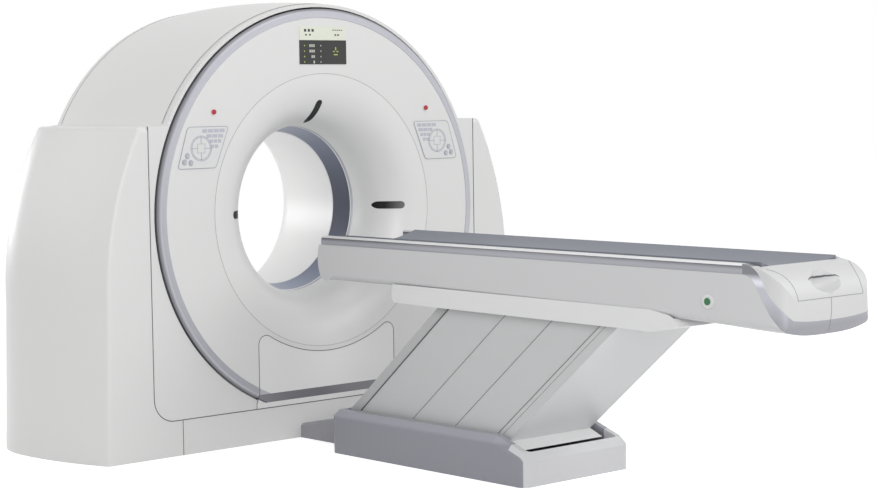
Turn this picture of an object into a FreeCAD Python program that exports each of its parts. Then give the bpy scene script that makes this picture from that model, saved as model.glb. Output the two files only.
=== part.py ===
import FreeCAD, Part
import math
import operator
import os
import Sketcher

# A CT scanner: a floor-standing gantry with its turning ring, and a patient table that rises on a
# parallelogram of slanted arms. The origin is on the floor, plumb below the centre of the scan plane.
# +Y runs along the bore, away from the table. Pieces are drawn from the gantry's front plane and the
# middle of the machine, and each is moved back by the scan plane's depth.

SIZES = {
    # gantry as a whole
    "scan_depth": 308.0,
    "bore_height": 1007.0,
    "gantry_length": 900.0,
    "wall": 5.0,
    "joint_gap": 0.3,
    "seam_chamfer": 2.0,
    "column_top": 1398.0,
    "kick_height": 152.0,
    # front face, ring and funnel
    "face_stand": 22.0,
    "funnel_mouth": 606.0,
    "funnel_throat": 375.0,
    "funnel_round": 218.0,
    "ring_inner": 853.0,
    "ring_outer": 893.0,
    "ring_bevel": 14.0,
    "ring_depth": 24.0,
    "surround_inner": 900.0,
    "surround_outer": 914.0,
    "surround_depth": 40.0,
    "surround_half": 922.0,
    "seam_round": 100.0,
    # window and rear funnel
    "trim_start": 240.0,
    "window_start": 260.0,
    "window_end": 357.0,
    "bore_throat": 350.0,
    "flare_start": 770.0,
    "flare_start_radius": 402.0,
    "flare_radius": 148.0,
    # barrel
    "barrel_radius": 932.0,
    "barrel_middle": 398.0,
    "barrel_arc": 4278.0,
    "rear_seam": 840.0,
    "rear_round": 40.0,
    # side covers
    "side_bow_centre": 535.0,
    "side_front_bow": 1454.0,
    "side_rear_bow": 423.0,
    "side_widest": 1256.0,
    "side_lean": 17.0,
    "side_knee": 640.0,
    "side_top_inset": 179.0,
    "side_arc": 1636.0,
    "side_inner": 833.0,
    "side_front_round": 22.0,
    "side_top_round": 24.0,
    "toe_inner": 779.0,
    # service door
    "door_half": 387.0,
    "door_top_radius": 628.0,
    "door_corner": 40.0,
    "chord_low": 176.0,
    "chord_high": 218.0,
    # display
    "display_half": 132.0,
    "display_low": 1654.0,
    "display_high": 1760.0,
    "header_high": 1821.0,
    "display_rim": 7.0,
    "plate_stand": 3.0,
    # control panels
    "panel_over_dial": 91.0,
    "panel_under_dial": 86.0,
    "panel_inward": 148.0,
    "panel_outward": 58.0,
    "dial_across": 670.0,
    "dial_height": 1300.0,
    "dial_radius": 53.0,
    "key_radius": 9.0,
    "key_stand": 4.0,
    "stop_across": 602.0,
    "stop_height": 1453.0,
    "stop_radius": 11.0,
    "stop_stand": 9.0,
    # laser windows
    "slot_inner": 388.0,
    "slot_outer": 490.0,
    "slot_half": 17.0,
    # frame, base and turning parts
    "base_half": 1000.0,
    "base_front": 20.0,
    "base_rear": 880.0,
    "base_high": 110.0,
    "base_plate": 25.0,
    "anchor_half_x": 880.0,
    "anchor_half_y": 240.0,
    "anchor_hole": 11.0,
    "frame_front": 520.0,
    "frame_thick": 50.0,
    "frame_clearance": 52.0,
    "frame_bore": 520.0,
    "race_radius": 500.0,
    "race_thick": 30.0,
    "running_gap": 0.06,
    "rotor_front": 430.0,
    "rotor_thick": 26.0,
    "rotor_inner": 400.0,
    "rotor_clearance": 67.0,
    "rotor_hole_inset": 60.0,
    "slip_thick": 25.0,
    "slip_end": 650.0,
    "tube_radius": 105.0,
    "tube_centre": 650.0,
    "tube_length": 200.0,
    "focus_radius": 541.0,
    "detector_clearance": 8.0,
    "fan_half_angle": 27.0,
    "detector_thick": 80.0,
    "module_depth": 180.0,
    "box_inner": 490.0,
    "box_outer": 760.0,
    "box_half": 165.0,
    # table base and duct
    "duct_half": 147.0,
    "duct_low": 63.0,
    "duct_high": 101.0,
    "duct_knee": 211.0,
    "tbase_half": 298.0,
    "tbase_head": 398.0,
    "tbase_foot": 1573.0,
    "tbase_high": 184.0,
    "tbase_slope_start": 1400.0,
    "tbase_foot_high": 124.0,
    "tbase_bevel": 32.0,
    "tbase_rim": 25.0,
    "tbase_round": 36.0,
    "deck_height": 112.0,
    "cavity_high": 90.0,
    "well_foot": 25.0,
    "well_head": 35.0,
    "deck_slot_foot": 1490.0,
    "tplate_thick": 18.0,
    "table_anchor_inset_x": 30.0,
    "table_anchor_inset_y": 107.5,
    "table_anchor_hole": 9.0,
    "cheek_across": 190.0,
    "cheek_thick": 16.0,
    "cheek_reach": 70.0,
    "cheek_slant": 50.0,
    "cheek_over_pivot": 26.0,
    "cheek_clearance": 5.0,
    "cover_cheek_gap": 4.0,
    "cover_cheek_thick": 8.0,
    # lift
    "lift_angle": 40.0,
    "arm_length": 918.0,
    "pivot_height": 100.0,
    "main_pivot": 740.0,
    "second_pivot": 1010.0,
    "arm_half": 25.0,
    "arm_thick": 18.0,
    "main_arm_across": 140.0,
    "second_arm_across": 112.0,
    "pin_radius": 10.0,
    "actuator_pivot": 1000.0,
    "actuator_height": 60.0,
    "actuator_reach": 600.0,
    "second_tube_out": 550.0,
    "actuator_radius": 34.0,
    "rod_radius": 18.0,
    "rod_eye_gap": 10.0,
    "slat_half": 232.0,
    "slat_thick": 2.5,
    "slat_step": 3.5,
    "slat_cover": 2.5,
    "lift_raise": 3.0,
    "head_pivot_shift": 83.0,
    "foot_pivot_shift": 36.9,
    "strip_head": 442.0,
    "strip_end": 512.0,
    "seam_first": 847.0,
    "seam_second": 1109.0,
    "seam_third": 1363.0,
    "foot_face": 1451.0,
    # table top
    "top_half": 250.0,
    "top_skin": 6.0,
    "top_low": 730.0,
    "top_foot_low": 695.0,
    "top_side_high": 880.0,
    "nose_tip": 271.0,
    "nose_under": 353.0,
    "top_foot": 2800.0,
    "rail_high": 917.0,
    "deck_thick": 10.0,
    "deck_half": 214.0,
    "chassis_across": 166.0,
    "chassis_thick": 18.0,
    "deck_drop": 14.0,
    "saddle_head": 764.0,
    "saddle_tip": 2325.0,
    "saddle_low": 652.0,
    "saddle_high": 738.0,
    "saddle_flare": 12.0,
    "guide_across": 150.0,
    "guide_half": 10.0,
    "guide_thick": 18.0,
    # cradle
    "cradle_half": 209.0,
    "cradle_lip": 922.0,
    "cradle_sag": 38.0,
    "cradle_thick": 11.0,
    "cradle_head": 385.0,
    "cradle_foot": 2660.0,
    "carriage_length": 420.0,
    # foot end
    "band_start": 2610.0,
    "band_bend": 75.0,
    "band_sweep": 66.0,
    "band_foot": 2770.0,
    "cap_face_height": 770.0,
    "cap_crest": 2700.0,
    "cap_crest_high": 901.0,
    "cap_corner": 70.0,
    "side_round": 26.0,
    "cup_radius": 96.0,
    "cup_lip": 893.0,
    "cradle_clearance": 3.0,
    "lamp_depth": 2458.0,
    "lamp_height": 777.0,
    "lamp_ring": 25.0,
    "lamp_button": 13.0,
    "lamp_stand": 6.0,
}

doc = FreeCAD.newDocument("ct_scanner")
sheet = doc.addObject("Spreadsheet::Sheet", "Sizes")
for row, (alias, number) in enumerate(SIZES.items(), start=1):
    sheet.set("A%d" % row, alias)
    sheet.set("B%d" % row, "%g" % number)
    sheet.setAlias("B%d" % row, alias)
doc.recompute()


class Size:
    """A number together with the formula that the document holds for it."""

    def __init__(self, value, text):
        self.value = float(value)
        self.text = text

    def __add__(self, other):
        return joined(self, other, "+", operator.add)

    def __radd__(self, other):
        return joined(other, self, "+", operator.add)

    def __sub__(self, other):
        return joined(self, other, "-", operator.sub)

    def __rsub__(self, other):
        return joined(other, self, "-", operator.sub)

    def __mul__(self, other):
        return joined(self, other, "*", operator.mul)

    def __rmul__(self, other):
        return joined(other, self, "*", operator.mul)

    def __truediv__(self, other):
        return joined(self, other, "/", operator.truediv)

    def __rtruediv__(self, other):
        return joined(other, self, "/", operator.truediv)

    def __neg__(self):
        return joined(0.0, self, "-", operator.sub)


def as_size(number):
    return number if isinstance(number, Size) else Size(number, "%.6f" % number)


def joined(first, second, sign, work):
    first = as_size(first)
    second = as_size(second)
    return Size(work(first.value, second.value), "(%s %s %s)" % (first.text, sign, second.text))


def root(size):
    return Size(math.sqrt(size.value), "sqrt(%s)" % size.text)


def sine(angle):
    return Size(math.sin(math.radians(angle.value)), "sin(%s)" % angle.text)


def cosine(angle):
    return Size(math.cos(math.radians(angle.value)), "cos(%s)" % angle.text)


def side_of(hypotenuse, other_side):
    """The third side of a right triangle."""
    return root(hypotenuse * hypotenuse - other_side * other_side)


class Sheet:
    """Every cell of the sheet as a Size, under its alias, and the sizes that follow from them."""

    def __init__(self):
        for name, number in SIZES.items():
            setattr(self, name, Size(number, "Sizes." + name))
        self.frame_outer = self.barrel_radius - self.frame_clearance
        self.rotor_outer = self.barrel_radius - self.rotor_clearance
        self.panel_top = self.dial_height + self.panel_over_dial
        self.panel_low = self.dial_height - self.panel_under_dial
        self.panel_in = self.dial_across - self.panel_inward
        self.panel_out = self.dial_across + self.panel_outward
        self.fan_radius = self.focus_radius + self.rotor_inner + self.detector_clearance


s = Sheet()
PIECES = {}
ZERO = FreeCAD.Vector(0, 0, 0)


def bind(obj, prop, size):
    obj.setExpression(prop, as_size(size).text)


def body_at(label, x=0.0, y=None, z=0.0):
    """A body whose own frame lies in the gantry's front plane, or where x, y and z say."""
    body = doc.addObject("PartDesign::Body", label)
    body.Label = label
    y = -s.scan_depth if y is None else y - s.scan_depth
    for prop, size in (("x", x), ("y", y), ("z", z)):
        bind(body, ".Placement.Base." + prop, size)
    return body


def bore_body(label):
    """A body whose own frame has the bore's axis as its Y axis."""
    return body_at(label, z=s.bore_height)


def origin_plane(body, name):
    return [o for o in body.Origin.OriginFeatures if o.Role == name + "_Plane"][0]


def round_at(x, y, radius):
    return ("round", x, y, radius)


def arc_geometry(begin, end, radius, turn):
    """The short arc from begin to end, turning left (+1) or right (-1), stored anticlockwise."""
    chord = end - begin
    rise = math.sqrt(max(radius * radius - chord.Length ** 2 / 4.0, 0.0))
    left = FreeCAD.Vector(-chord.y, chord.x, 0).normalize()
    centre = begin + chord * 0.5 + left * rise * turn
    first, last = (begin, end) if turn > 0 else (end, begin)
    start_angle = math.atan2(first.y - centre.y, first.x - centre.x)
    end_angle = math.atan2(last.y - centre.y, last.x - centre.x)
    if end_angle <= start_angle:
        end_angle += 2 * math.pi
    circle = Part.Circle(centre, FreeCAD.Vector(0, 0, 1), radius)
    return Part.ArcOfCircle(circle, start_angle, end_angle)


def tie_point(sketch, geometry, position, x, y):
    for kind, size in (("DistanceX", as_size(x)), ("DistanceY", as_size(y))):
        index = sketch.addConstraint(
            Sketcher.Constraint(kind, -1, 1, geometry, position, size.value))
        bind(sketch, "Constraints[%d]" % index, size)


def tie_radius(sketch, geometry, radius):
    radius = as_size(radius)
    index = sketch.addConstraint(Sketcher.Constraint("Radius", geometry, radius.value))
    bind(sketch, "Constraints[%d]" % index, radius)


def add_round(sketch, loop):
    x, y, radius = (as_size(part) for part in loop[1:])
    centre = FreeCAD.Vector(x.value, y.value, 0)
    index = sketch.addGeometry(Part.Circle(centre, FreeCAD.Vector(0, 0, 1), radius.value))
    tie_point(sketch, index, 3, x, y)
    tie_radius(sketch, index, radius)


def add_loop(sketch, corners):
    """Corners are (x, y), or (x, y, radius, turn) where an arc leads to the next corner."""
    first = None
    before = None
    for number, corner in enumerate(corners):
        following = corners[(number + 1) % len(corners)]
        begin = FreeCAD.Vector(as_size(corner[0]).value, as_size(corner[1]).value, 0)
        end = FreeCAD.Vector(as_size(following[0]).value, as_size(following[1]).value, 0)
        entry, leave = 1, 2
        if len(corner) == 4:
            radius, turn = as_size(corner[2]), corner[3]
            index = sketch.addGeometry(arc_geometry(begin, end, radius.value, turn))
            tie_radius(sketch, index, radius)
            if turn < 0:
                entry, leave = 2, 1
        else:
            index = sketch.addGeometry(Part.LineSegment(begin, end))
        tie_point(sketch, index, entry, corner[0], corner[1])
        if before is not None:
            sketch.addConstraint(Sketcher.Constraint("Coincident", before[0], before[1], index, entry))
        else:
            first = (index, entry)
        before = (index, leave)
    sketch.addConstraint(Sketcher.Constraint("Coincident", before[0], before[1], first[0], first[1]))


def sketch_on(body, plane, loops, at=(0.0, 0.0, 0.0)):
    """A sketch on one of the body's planes, its own origin moved to the point at."""
    sketch = body.newObject("Sketcher::SketchObject", body.Label + "_profile")
    sketch.AttachmentSupport = [(origin_plane(body, plane), "")]
    sketch.MapMode = "FlatFace"
    x, y, z = at
    shift = {"XY": (x, y, z), "XZ": (x, z, -as_size(y)), "YZ": (y, z, x)}[plane]
    for prop, size in zip("xyz", shift):
        bind(sketch, ".AttachmentOffset.Base." + prop, size)
    for loop in loops:
        if loop[0] == "round":
            add_round(sketch, loop)
        else:
            add_loop(sketch, loop)
    return sketch


def level(plane, height):
    return {"XY": (0.0, 0.0, height), "XZ": (0.0, height, 0.0), "YZ": (height, 0.0, 0.0)}[plane]


def slab(body, plane, low, high, *loops):
    """Adds the outline's solid between two levels of the plane's normal."""
    pad = body.newObject("PartDesign::Pad", body.Label + "_pad")
    pad.Profile = sketch_on(body, plane, loops, level(plane, low))
    pad.Reversed = plane == "XZ"
    bind(pad, "Length", as_size(high) - low)
    return pad


def opening(body, plane, low, high, *loops):
    """Cuts the outline away between two levels of the plane's normal."""
    pocket = body.newObject("PartDesign::Pocket", body.Label + "_pocket")
    pocket.Profile = sketch_on(body, plane, loops, level(plane, low))
    pocket.Reversed = plane != "XZ"
    bind(pocket, "Length", as_size(high) - low)
    return pocket


def turned(body, kind, plane, loops, at=(0.0, 0.0, 0.0), axis="H_Axis", angle=360.0, back=False):
    """Turns the outline round one of its sketch's axes, adding it or cutting it away."""
    feature = body.newObject("PartDesign::" + kind, body.Label + "_turn")
    feature.Profile = sketch_on(body, plane, loops, at)
    feature.ReferenceAxis = (feature.Profile[0], [axis])
    feature.Reversed = back
    bind(feature, "Angle", angle)
    return feature


def revolved(body, *loops, **options):
    return turned(body, "Revolution", "YZ", loops, **options)


def edges_where(shape, test):
    return ["Edge%d" % (i + 1) for i, edge in enumerate(shape.Edges) if test(edge)]


def eased(body, kind, size, test):
    """Rounds (Fillet) or bevels (Chamfer) the edges of the body's last feature that pass the test."""
    doc.recompute()
    base = body.Tip
    names = edges_where(base.Shape, test)
    if not names:
        raise ValueError("no edge to ease on " + body.Label)
    feature = body.newObject("PartDesign::" + kind, body.Label + "_ease")
    feature.Base = (base, names)
    bind(feature, "Radius" if kind == "Fillet" else "Size", size)
    return feature


def near(first, second, reach=0.05):
    return abs(first - second) < reach


def box_loop(left, low, right, high):
    return [(left, low), (right, low), (right, high), (left, high)]


def cut(label, base, *tools):
    """The base with each tool taken away in turn."""
    for number, tool in enumerate(tools):
        result = doc.addObject("Part::Cut", "%s_cut%d" % (label, number))
        result.Base = base
        result.Tool = tool
        base = result
    base.Label = label
    return base


def common(label, base, tool):
    result = doc.addObject("Part::Common", label)
    result.Base = base
    result.Tool = tool
    result.Label = label
    return result


def both(label, *shapes):
    """Pieces that stay apart but belong together as one group."""
    result = doc.addObject("Part::Compound", label)
    result.Links = list(shapes)
    result.Label = label
    return result


def mirrored(label, source):
    """The same piece on the other side of the machine's middle plane."""
    result = doc.addObject("Part::Mirroring", label)
    result.Source = source
    result.Normal = FreeCAD.Vector(1, 0, 0)
    result.Base = ZERO
    result.Label = label
    return result


def keep(obj, name):
    obj.Label = name
    PIECES[name] = obj
    return obj


# ---- gantry: base, frame and turning parts --------------------------------------------------

def build_gantry_base():
    """A ladder of four beams on a floor plate, with four anchor holes in their own pockets."""
    body = body_at("gantry_base")
    well_half = s.base_half - 240.0
    outline = box_loop(-s.base_half, s.base_front, s.base_half, s.base_rear)
    well = box_loop(-well_half, s.base_front + 130.0, well_half, s.base_rear - 130.0)
    slab(body, "XY", 0.0, s.base_high, outline, well)
    anchors = [
        (s.anchor_half_x * side, s.scan_depth + s.anchor_half_y * end)
        for side in (-1, 1) for end in (-1, 1)
    ]
    opening(body, "XY", s.base_plate, s.base_high + 1.0, *[round_at(x, y, 38.0) for x, y in anchors])
    opening(body, "XY", -1.0, s.base_plate + 1.0, *[round_at(x, y, s.anchor_hole) for x, y in anchors])
    return keep(body, "gantry_base")


def build_gantry_frame():
    """The standing ring that holds the bearing, with its two legs and their foot plates."""
    body = bore_body("gantry_frame")
    back = s.frame_front + s.frame_thick
    foot = s.base_high - s.bore_height
    slab(body, "XZ", s.frame_front, back, round_at(0.0, 0.0, s.frame_outer))
    for side in (-1, 1):
        slab(body, "XZ", s.frame_front, back, [
            (side * s.base_half * 0.5, foot),
            (side * (s.base_half - 40.0), foot),
            (side * (s.base_half - 40.0), foot + 240.0),
            (side * (s.frame_outer - 40.0), 0.0),
            (side * (s.frame_bore + 60.0), 0.0)])
        slab(body, "XY", foot, foot + 25.0, box_loop(
            side * (s.base_half - 230.0), s.frame_front - 110.0,
            side * (s.base_half - 40.0), back + 110.0))
    opening(body, "XZ", s.frame_front - 1.0, back + 1.0, round_at(0.0, 0.0, s.frame_bore))
    for turn in range(8):
        angle = math.radians(22.5 + 45.0 * turn)
        across = (s.frame_outer + s.frame_bore) / 2.0
        opening(body, "XZ", s.frame_front - 1.0, back + 1.0,
                round_at(across * math.cos(angle), across * math.sin(angle), 95.0))
    return keep(body, "gantry_frame")


def ring_piece(name, inner, outer, begin, end):
    """A plain ring round the bore's axis."""
    body = bore_body(name)
    revolved(body, [(begin, inner), (end, inner), (end, outer), (begin, outer)])
    return keep(body, name)


def build_bearing():
    back = s.frame_front + s.frame_thick
    ring_piece("bearing_fixed_race", s.race_radius + s.running_gap, s.frame_bore, s.frame_front, back)
    ring_piece("bearing_turning_race", s.race_radius - s.race_thick, s.race_radius,
               s.rotor_front + s.rotor_thick, back)


def build_rotor():
    """The turning plate, lightened by holes, and the slip ring's grooved drum behind it."""
    body = bore_body("rotor_plate")
    back = s.rotor_front + s.rotor_thick
    slab(body, "XZ", s.rotor_front, back, round_at(0.0, 0.0, s.rotor_outer),
         round_at(0.0, 0.0, s.rotor_inner))
    holes = []
    across = s.rotor_outer - s.rotor_hole_inset
    for turn in range(12):
        angle = math.radians(15.0 + 30.0 * turn)
        holes.append(round_at(across * math.cos(angle), across * math.sin(angle), 36.0))
    opening(body, "XZ", s.rotor_front - 1.0, back + 1.0, *holes)
    keep(body, "rotor_plate")

    drum = bore_body("slip_ring")
    outer = s.race_radius - s.race_thick
    inner = outer - s.slip_thick
    outline = [(back, inner), (s.slip_end, inner), (s.slip_end, outer)]
    groove_start = s.frame_front + s.frame_thick + 10.0
    for track in range(4, 0, -1):
        edge = groove_start + 16.0 * track - 6.0
        outline += [(edge, outer), (edge, outer - 3.0), (edge - 6.0, outer - 3.0), (edge - 6.0, outer)]
    outline.append((back, outer))
    revolved(drum, outline)
    keep(drum, "slip_ring")


def build_brush_block():
    """A block on the back of the frame whose brushes reach the slip ring's tracks."""
    body = bore_body("brush_block")
    back = s.frame_front + s.frame_thick
    outer = s.race_radius - s.race_thick
    slab(body, "XY", outer + 12.0, outer + 70.0, box_loop(-70.0, back, 70.0, back + 80.0))
    for track in range(4):
        edge = back + 10.0 + 16.0 * track
        slab(body, "XY", outer + 2.0, outer + 12.5, box_loop(-30.0, edge + 5.5, 30.0, edge + 9.5))
    return keep(body, "brush_block")


def build_tube():
    """The X-ray tube: a can along the bore's direction with a high-voltage well at each end."""
    body = bore_body("xray_tube")
    front = s.rotor_front - s.tube_length
    slab(body, "XZ", front + 20.0, s.rotor_front - 12.0, round_at(0.0, s.tube_centre, s.tube_radius))
    slab(body, "XZ", front, front + 20.5, round_at(0.0, s.tube_centre, s.tube_radius - 30.0))
    slab(body, "XZ", s.rotor_front - 12.5, s.rotor_front,
         box_loop(-s.tube_radius, s.tube_centre - s.tube_radius, s.tube_radius,
                  s.tube_centre + s.tube_radius))
    return keep(body, "xray_tube")


def build_collimator():
    """The box under the tube whose slot lets the fan of rays through the window."""
    body = bore_body("collimator")
    high = s.tube_centre - s.tube_radius - 2.0
    low = s.rotor_inner + 40.0
    slab(body, "XY", low, high, box_loop(-100.0, s.rotor_front - s.module_depth, 100.0, s.rotor_front))
    opening(body, "XY", low - 1.0, high + 1.0,
            box_loop(-70.0, s.scan_depth - 12.0, 70.0, s.scan_depth + 12.0))
    return keep(body, "collimator")


def build_detector():
    """An arc of detector modules about the tube's focus, across the bore from it."""
    body = bore_body("detector")
    swing = s.fan_half_angle
    outer = s.fan_radius + s.detector_thick
    ends = []
    for radius in (s.fan_radius, outer):
        ends.append((radius * sine(swing), s.focus_radius - radius * cosine(swing)))
    (near_x, near_z), (far_x, far_z) = ends
    slab(body, "XZ", s.rotor_front - s.module_depth, s.rotor_front, [
        (-near_x, near_z, s.fan_radius, 1), (near_x, near_z), (far_x, far_z, outer, -1), (-far_x, far_z)])
    return keep(body, "detector")


def build_rotor_boxes():
    """The high-voltage generator on one side of the turning plate, the oil cooler on the other."""
    front = s.rotor_front - s.module_depth
    generator = bore_body("generator")
    slab(generator, "XZ", front, s.rotor_front, box_loop(s.box_inner, -s.box_half, s.box_outer, s.box_half))
    keep(generator, "generator")
    cooler = bore_body("oil_cooler")
    slab(cooler, "XZ", front, s.rotor_front,
         box_loop(-s.box_outer, -s.box_half, -s.box_inner, s.box_half))
    for fin in range(5):
        low = -s.box_half + 25.0 + 60.0 * fin
        opening(cooler, "XZ", front - 1.0, s.rotor_front - 60.0,
                box_loop(-s.box_outer + 20.0, low, -s.box_inner - 20.0, low + 40.0))
    keep(cooler, "oil_cooler")


# ---- gantry: covers -------------------------------------------------------------------------

def barrel_height(depth):
    """The barrel's radius at a depth: an arc about a far centre, widest in the middle."""
    run = depth - s.barrel_middle
    return s.barrel_radius - s.barrel_arc + root(s.barrel_arc * s.barrel_arc - run * run)


def barrel_band(body, begin, end, gap, thickness, angle, back=False):
    """A band of the barrel between two depths, turned from the top by an angle."""
    outer = s.barrel_arc + gap
    revolved(body, [
        (begin, barrel_height(begin) + gap - thickness, outer - thickness, -1),
        (end, barrel_height(end) + gap - thickness),
        (end, barrel_height(end) + gap, outer, 1),
        (begin, barrel_height(begin) + gap)], angle=angle, back=back)


def build_drum_shell():
    """The barrel's skin, over the top from one column to the other."""
    body = bore_body("drum_shell")
    for back in (False, True):
        barrel_band(body, s.surround_depth, s.rear_seam, 0.0, s.wall, 66.0, back)
    eased(body, "Chamfer", s.seam_chamfer, lambda e: is_outer_arc(e, s.surround_depth.value)
          or is_outer_arc(e, s.rear_seam.value))
    return keep(body, "drum_shell")


def is_outer_arc(edge, depth):
    """An arc round the bore's axis at this depth, on the skin's outer side."""
    box = edge.BoundBox
    middle = edge.valueAt((edge.FirstParameter + edge.LastParameter) / 2)
    reach = math.hypot(middle.x, middle.z)
    outer = barrel_height(as_size(depth)).value
    return near(box.YMin, depth) and near(box.YMax, depth) and near(reach, outer, 0.5)


def build_front_surround():
    """The front panel between the side covers, with a hoop that frames the ring over the top."""
    body = bore_body("front_surround")
    top = s.column_top - s.bore_height
    low = s.kick_height - s.bore_height
    half = s.surround_half
    corner = half - s.seam_round
    slab(body, "XZ", 0.0, s.wall, [
        (-corner, low), (corner, low, s.seam_round, 1), (half, low + s.seam_round),
        (half, top), (-half, top), (-half, low + s.seam_round, s.seam_round, 1)])
    slab(body, "XZ", s.wall - 1.0, s.surround_depth, box_loop(-half, top - s.wall, half, top))
    opening(body, "XZ", -1.0, s.surround_depth + 1.0, round_at(0.0, 0.0, s.surround_inner))
    revolved(body, [(0.0, s.surround_inner), (30.0, s.surround_inner),
                    (30.0, s.surround_inner + s.wall), (0.0, s.surround_inner + s.wall)])
    for back in (False, True):
        revolved(body, [(0.0, s.surround_inner), (s.surround_depth, s.surround_inner),
                        (s.surround_depth, s.surround_outer), (0.0, s.surround_outer)],
                 angle=66.0, back=back)
    door = s.door_half + s.joint_gap
    below = -s.surround_outer - 1.0
    opening(body, "XZ", -1.0, s.surround_depth + 1.0, box_loop(-door, below, door, low + 120.0))
    opening(body, "XZ", -1.0, s.surround_depth + 1.0, box_loop(-half, below, half, low))
    return keep(body, "front_surround")


def side_meridian(centre, inset, inner, floor):
    """The side cover's section from inner out to its leaning, rounded face, about an upright axis."""
    knee = s.side_widest - s.side_lean - inset - centre
    foot = s.side_widest - inset - centre
    top = s.side_widest - s.side_top_inset - inset - centre
    return [(inner, floor), (foot, floor), (knee, s.side_knee, s.side_arc - inset, 1),
            (top, s.column_top - inset), (inner, s.column_top - inset)]


def side_block(label, inset, floor):
    """The right side cover's solid block: two turned sections that share their widest meridian."""
    body = body_at(label)
    bow = s.side_bow_centre
    front_axis = s.side_widest - s.side_front_bow
    rear_axis = s.side_widest - s.side_rear_bow
    inner = s.side_inner - front_axis
    turned(body, "Revolution", "XZ", [side_meridian(front_axis, inset, inner, floor)],
           (front_axis, bow, 0.0), "V_Axis", 34.0, True)
    turned(body, "Revolution", "XZ", [side_meridian(rear_axis, inset, 0.0, floor)],
           (rear_axis, bow, 0.0), "V_Axis", 89.0, False)
    reach = s.side_widest + 50.0
    front = as_size(inset)
    rear = s.gantry_length - inset
    opening(body, "XY", floor - 1.0, s.column_top + 1.0, box_loop(0.0, front - 400.0, reach, front))
    opening(body, "XY", floor - 1.0, s.column_top + 1.0, box_loop(0.0, rear, reach, rear + 400.0))
    opening(body, "XY", floor - 1.0, s.column_top + 1.0,
            box_loop(0.0, -400.0, s.side_inner, s.gantry_length + 400.0))
    corner = s.side_front_round - inset
    rear_round = s.rear_round - inset

    def on_level(edge, y):
        return near(edge.BoundBox.YMin, y) and near(edge.BoundBox.YMax, y)

    def stands(edge):
        return edge.BoundBox.ZLength > 100 and edge.BoundBox.XMin > s.side_inner.value + 20

    eased(body, "Fillet", corner, lambda e: on_level(e, front.value) and stands(e))
    eased(body, "Fillet", rear_round, lambda e: on_level(e, rear.value) and stands(e))
    top = as_size(s.column_top - inset).value
    eased(body, "Fillet", s.side_top_round - inset, lambda e: near(e.BoundBox.ZMin, top)
          and near(e.BoundBox.ZMax, top) and e.BoundBox.XMax > s.side_inner.value + 30)
    return body


def build_side_covers():
    """Hollow side covers with a toe that runs in under the front panel, one each side."""
    gap = s.joint_gap
    outer = side_block("side_outer", as_size(0.0), 0.0)
    slab(outer, "XZ", 0.0, s.wall, box_loop(s.toe_inner, 0.0, s.side_inner + 30.0, s.kick_height - gap))
    core = side_block("side_core", s.wall, -1.0)
    half = s.surround_half + gap
    low = s.kick_height - gap
    corner = half - s.seam_round - gap
    front_tool = body_at("side_front_tool")
    slab(front_tool, "XZ", -1.0, s.surround_depth + gap, [
        (s.side_inner - 60.0, low), (corner, low, s.seam_round + gap, 1),
        (half, low + s.seam_round + gap), (half, s.column_top + 1.0),
        (s.side_inner - 60.0, s.column_top + 1.0)])
    drum_tool = bore_body("side_drum_tool")
    begin = s.surround_depth
    end = s.gantry_length + 1.0
    revolved(drum_tool, [
        (begin, 0.0), (end, 0.0), (end, barrel_height(end) + gap, s.barrel_arc + gap, 1),
        (begin, barrel_height(begin) + gap)])
    right = cut("side_cover_right", outer, core, front_tool, drum_tool)
    keep(right, "side_cover_right")
    keep(mirrored("side_cover_left", right), "side_cover_left")


def build_kick_plates():
    """The plates that close the foot of the gantry in front and behind."""
    gap = s.joint_gap
    front = body_at("kick_plates")
    half = s.toe_inner - gap
    slab(front, "XZ", 0.0, s.wall, box_loop(-half, 0.0, half, s.kick_height - gap))
    for side in (-1, 1):
        slab(front, "XZ", s.wall - 1.0, s.base_front, box_loop(
            side * half * 0.8, 20.0, side * half * 0.9, s.base_high - 10.0))
    rear = body_at("kick_plate_behind")
    half = s.side_inner - gap
    back = s.gantry_length
    slab(rear, "XZ", back - s.wall, back, box_loop(-half, 0.0, half, s.kick_height - gap))
    for side in (-1, 1):
        slab(rear, "XZ", s.base_rear, back - s.wall + 1.0, box_loop(
            side * half * 0.8, 20.0, side * half * 0.9, s.base_high - 10.0))
    return keep(both("kick_plates", front, rear), "kick_plates")


def build_rear_cover():
    """The rear panel, which laps over the barrel's end and opens to the rear funnel."""
    body = bore_body("rear_cover")
    back = s.gantry_length
    mouth = s.flare_start_radius + s.flare_radius
    half = s.side_inner - s.joint_gap
    low = s.kick_height - s.bore_height
    top = s.column_top - s.bore_height
    rim = barrel_height(s.rear_seam)
    slab(body, "XZ", back - s.wall, back, box_loop(-half, low, half, top))
    for turn_back in (False, True):
        revolved(body, [
            (back - s.wall, mouth), (back, mouth), (back, rim - s.rear_round, s.rear_round, 1),
            (back - s.rear_round, rim), (s.rear_seam, rim), (s.rear_seam, rim - s.wall),
            (back - s.rear_round, rim - s.wall, s.rear_round - s.wall, -1),
            (back - s.wall, rim - s.rear_round)], angle=66.0, back=turn_back)
    opening(body, "XZ", back - s.wall - 1.0, back + 1.0, round_at(0.0, 0.0, mouth))
    return keep(body, "rear_cover")


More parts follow.
